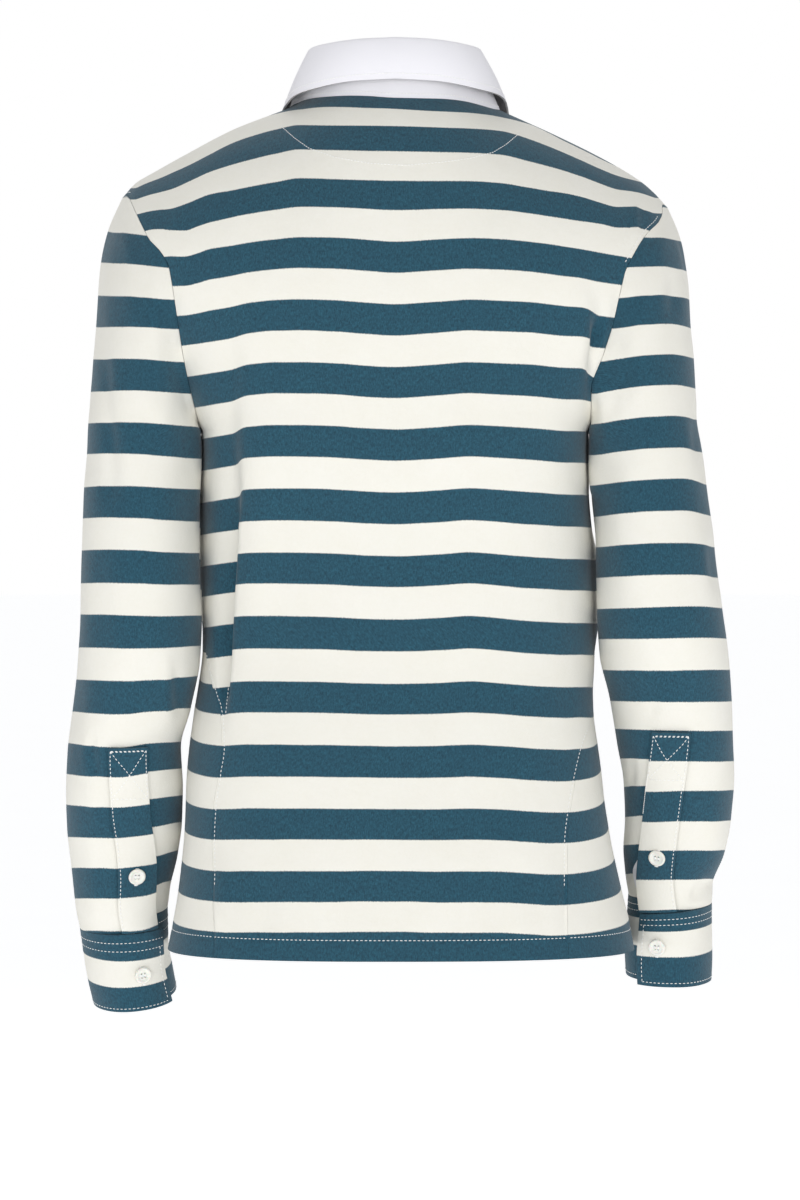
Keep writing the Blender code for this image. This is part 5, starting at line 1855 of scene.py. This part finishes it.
class RUGBY_OT_sleeves(bpy.types.Operator):
    """The two set-in sleeves"""

    bl_idname = "rugby.sleeves"
    bl_label = "Sleeves"

    def execute(self, context):
        for side in SIDES:
            declare_sheet(sleeve_cloth(side, material("jersey")), side + "_sleeve")
        return {"FINISHED"}


class RUGBY_OT_cuffs(bpy.types.Operator):
    """The two banded cuffs"""

    bl_idname = "rugby.cuffs"
    bl_label = "Cuffs"

    def execute(self, context):
        for side in SIDES:
            declare_sheet(cuff_cloth(side, material("jersey")), side + "_cuff")
        return {"FINISHED"}


class RUGBY_OT_plackets(bpy.types.Operator):
    """The plackets at the wrists, and the strips under them"""

    bl_idname = "rugby.plackets"
    bl_label = "Sleeve Plackets"

    def execute(self, context):
        for side, under_width in (("left", 0.012), ("right", 0.017)):
            declare_sheet(placket_cloth(side, material("jersey")), side + "_sleeve_placket")
            declare_sheet(underlap_cloth(side, material("twill")), side + "_underlap")
        return {"FINISHED"}


class RUGBY_OT_collar(bpy.types.Operator):
    """The collar's stand and its turned-down fall"""

    bl_idname = "rugby.collar"
    bl_label = "Collar"

    def execute(self, context):
        declare_sheet(collar_cloth("stand", material("twill")), "collar_stand")
        fall = collar_cloth("fall", material("twill"), under=material("undercollar"))
        declare_sheet(fall, "collar_fall")
        return {"FINISHED"}


class RUGBY_OT_front_placket(bpy.types.Operator):
    """The strip down the front that holds the buttons"""

    bl_idname = "rugby.front_placket"
    bl_label = "Front Placket"

    def execute(self, context):
        declare_sheet(front_placket_cloth(material("twill")), "front_placket")
        return {"FINISHED"}


class RUGBY_OT_buttons(bpy.types.Operator):
    """Four-hole buttons, sewn on through their holes"""

    bl_idname = "rugby.buttons"
    bl_label = "Buttons"

    def execute(self, context):
        pattern = pierced(button_mesh())
        threads = []
        for button in button_places():
            mesh = pattern.copy()
            mesh.transform(standing(button.at, button.out, button.up))
            piece = finish(button.name, mesh, [material("button")])
            piece.data.set_sharp_from_angle(angle=math.radians(40))
            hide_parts(button.node)
            threads += button_threads(button)
        pattern.free()
        thread_piece("button_threads", threads, material("thread"))
        return {"FINISHED"}


class RUGBY_OT_stitching(bpy.types.Operator):
    """Topstitching at the hem, seams, plackets, cuffs and collar, and the buttonholes"""

    bl_idname = "rugby.stitching"
    bl_label = "Stitching"

    def execute(self, context):
        groups = {
            "stitching_body": body_stitches(),
            "stitching_wrists": wrist_stitches(),
            "stitching_collar": collar_stitches(),
            "buttonholes": [mark for button in button_places() for mark in buttonhole(button)],
        }
        for name, marks in groups.items():
            thread_piece(name, marks, material("thread"))
        return {"FINISHED"}


# Heights between which the side seams' and the armholes' stitching shows, left and right.
SEEN_SIDE_SEAMS = ((-640, -440), (-640, -503))
SEEN_ARMHOLES = ((-80, -66), (-139, -98))
SEEN_FRONT_ARMHOLES = (-250, -60)
FOLD_EDGE = ((136.6, -482), (137.8, -494), (139, -505))
HEM_TACK = ((-192.4, -689.5), (-193.6, -692.5))
HALF_MOON = (
    (93.5, -22), (82, -32), (70.5, -40.2), (49, -47.6), (20.5, -52.5), (-8.2, -54.1), (-37, -51.7), (-61.5, -48.4),
    (-80.4, -43.5), (-91, -37), (-101, -28.7),
)


def body_stitches():
    """The hem, side seams, armholes and the half-moon below the back of the neck."""
    surfaces = body_surfaces()
    hem_row = HEM_ROWS.index(HEM_STITCH)
    marks = []
    for surface in surfaces.values():
        marks += sewn(surface, TOPSTITCH, (hem_row, 0.3), (hem_row, len(surface.rows[0]) - 1.3))
    back, front = surfaces["back"], surfaces["front"]
    yoke = range(BODY_ROWS + 2, len(back.rows) - 3)
    for last in (False, True):
        for surface, (lowest, highest), rows, every, inset in (
            (back, SEEN_SIDE_SEAMS[last], range(BODY_ROWS + 1), 3, 2.6),
            (back, SEEN_ARMHOLES[last], yoke, 2, 3.2),
            (front, SEEN_FRONT_ARMHOLES, yoke, 2, 3.2),
        ):
            end = -1 if last and rows is yoke else 0
            seen = [r for r in rows if lowest < surface.rows[r][end].z < highest][::every]
            marks += sewn(surface, TOPSTITCH, *((r, inset_column(surface, r, inset, last)) for r in seen))
    for line, stitch in ((FOLD_EDGE, TOPSTITCH), (HEM_TACK, TACK), (HALF_MOON, FINE_STITCH)):
        marks += stitched(seen_path(line), stitch)
    return marks


BOX_FOOT = 11  # the row of a sleeve placket where its box ends


def wrist_stitches():
    """The boxes and edges of the sleeve plackets, and the rows round the cuffs."""
    marks = []
    for side in SIDES:
        placket, cuff = placket_surface(side), cuff_surface(side)
        foot, last = len(placket.rows) - 1, len(placket.rows[0]) - 1
        right = last - 0.7
        for ends in (
            ((0.6, 0.7), (0.6, right)),
            ((0.75, 0.9), (0.75, last - 0.9)),
            ((0.6, 0.7), (BOX_FOOT, right)),
            ((0.6, right), (BOX_FOOT, 0.7)),
            ((0.6, 0.7), (foot - 0.5, 0.7)),
            ((0.6, right), (BOX_FOOT, right)),
            ((BOX_FOOT, 0.7), (BOX_FOOT, right)),
        ):
            marks += sewn(placket, TOPSTITCH, *ends)
        if side == "right":
            marks += sewn(placket, TACK, (foot * 0.2, last - 0.3), (foot * 0.4, last - 0.15))
        end, low = CUFF_COLUMNS - 1, CUFF_ROWS - 1.1
        for row, start in ((1.4, 0.8), (2.7, 0.8), (low, 2.4)):
            marks += sewn(cuff, TOPSTITCH, (row, start), (row, end))
        marks += sewn(cuff, TOPSTITCH, (2.7, 2.4), (low, 2.4))
    return marks


def collar_stitches():
    """The stand's seam, the fall's edge, and the front placket."""
    surfaces, _ = collar_surfaces()
    stand, fall, placket = surfaces["stand"], surfaces["fall"], front_placket_surface()
    last = len(stand.rows[0]) - 1
    low, top = len(fall.rows) - 4, len(placket.rows) - 4
    marks = sewn(stand, FINE_STITCH, (1.4, 1), (1.4, last - 1))
    marks += sewn(fall, FINE_STITCH, (low, 1.4), (low, last - 1.4))
    for column in (1.4, last - 1.4):
        marks += sewn(fall, FINE_STITCH, (12, column), (low, column))
    for ends in (
        ((0.8, 0.9), (top, 0.9)),
        ((0.8, 11.1), (top, 11.1)),
        ((0.8, 0.9), (0.8, 11.1)),
        ((4.5, 0.9), (4.5, 11.1)),
        ((0.8, 0.9), (4.5, 11.1)),
        ((0.8, 11.1), (4.5, 0.9)),
    ):
        marks += sewn(placket, TOPSTITCH, *ends)
    return marks


Lamp = namedtuple("Lamp", "name at aim across watts")
LAMPS = (
    Lamp("key_light", (-1.1, 5.1, 0.7), (0, 0, -0.38), 3.4, 63),
    Lamp("fill_light", (1.6, 4.6, -0.5), (0, 0, -0.4), 2.6, 31),
    Lamp("front_light", (0.3, -2.6, 2.8), (0, 0, -0.3), 2.6, 44),
)
CAMERA_AIM = (-0.0041, 0, -0.41)
LENS = 128.05


def aimed(name, data, at, aim):
    """A light or camera at a place, looking at another."""
    thing = linked(name, data)
    thing.location = at
    thing.rotation_euler = (Vector(aim) - Vector(at)).to_track_quat("-Z", "Y").to_euler()
    return thing


class RUGBY_OT_stage(bpy.types.Operator):
    """A white room with soft light, and the camera behind the wearer"""

    bl_idname = "rugby.stage"
    bl_label = "Stage"

    def execute(self, context):
        scene = context.scene
        scene.view_settings.view_transform = "Standard"
        mesh = bmesh.new()
        bmesh.ops.create_circle(mesh, cap_ends=True, cap_tris=False, segments=96, radius=60)
        bmesh.ops.translate(mesh, vec=(0, 0, settings().floor_height), verts=mesh.verts[:])
        floor = linked("floor", data_of("floor", mesh))
        floor.data.materials.append(material("floor"))
        white_room(scene)
        for lamp in LAMPS:
            light = bpy.data.lights.new(lamp.name, "AREA")
            light.shape = "DISK"
            light.size = lamp.across
            light.energy = lamp.watts
            aimed(lamp.name, light, lamp.at, lamp.aim)
        lens = bpy.data.cameras.new("camera")
        lens.sensor_fit = "AUTO"
        lens.sensor_width = 36
        lens.lens = LENS
        scene.camera = aimed("camera", lens, (0, EYE_Y * MM, EYE_Z * MM), CAMERA_AIM)
        return {"FINISHED"}


def white_room(scene):
    """White to the camera, and a softer light on the cloth."""
    world = bpy.data.worlds.new("white_room")
    world.use_nodes = True
    nodes, links = world.node_tree.nodes, world.node_tree.links
    nodes.clear()
    path = nodes.new("ShaderNodeLightPath")
    seen, soft = (nodes.new("ShaderNodeBackground") for _ in range(2))
    for light, colour, strength in ((seen, (1, 1, 1, 1), 1.0), (soft, (0.97, 0.985, 1, 1), 0.5)):
        light.inputs["Color"].default_value = colour
        light.inputs["Strength"].default_value = strength
    choice = nodes.new("ShaderNodeMixShader")
    out = nodes.new("ShaderNodeOutputWorld")
    for socket, source in enumerate((path.outputs["Is Camera Ray"], soft.outputs[0], seen.outputs[0])):
        links.new(source, choice.inputs[socket])
    links.new(choice.outputs[0], out.inputs["Surface"])
    scene.world = world


class RUGBY_PT_panel(bpy.types.Panel):
    """The shirt's sizes, colours and pieces"""

    bl_idname = "RUGBY_PT_panel"
    bl_label = "Rugby Shirt"
    bl_space_type = "VIEW_3D"
    bl_region_type = "UI"
    bl_category = "Rugby Shirt"

    def draw(self, context):
        look = settings()
        for name in look.bl_rna.properties.keys():
            if name not in ("rna_type", "name"):
                self.layout.prop(look, name)
        for operator in OPERATORS:
            self.layout.operator(operator.bl_idname)


OPERATORS = (
    RUGBY_OT_body,
    RUGBY_OT_sleeves,
    RUGBY_OT_cuffs,
    RUGBY_OT_plackets,
    RUGBY_OT_collar,
    RUGBY_OT_front_placket,
    RUGBY_OT_buttons,
    RUGBY_OT_stitching,
    RUGBY_OT_stage,
)
CLASSES = (RugbyShirtSettings, *OPERATORS, RUGBY_PT_panel)


def register():
    for kind in CLASSES:
        bpy.utils.register_class(kind)
    bpy.types.Scene.rugby_shirt = bpy.props.PointerProperty(type=RugbyShirtSettings)


def unregister():
    del bpy.types.Scene.rugby_shirt
    for kind in reversed(CLASSES):
        bpy.utils.unregister_class(kind)


def main():
    register()
    bpy.ops.rugby.body()
    bpy.ops.rugby.sleeves()
    bpy.ops.rugby.cuffs()
    bpy.ops.rugby.plackets()
    bpy.ops.rugby.collar()
    bpy.ops.rugby.front_placket()
    bpy.ops.rugby.buttons()
    bpy.ops.rugby.stitching()
    bpy.ops.rugby.stage()


if __name__ == "__main__":
    main()
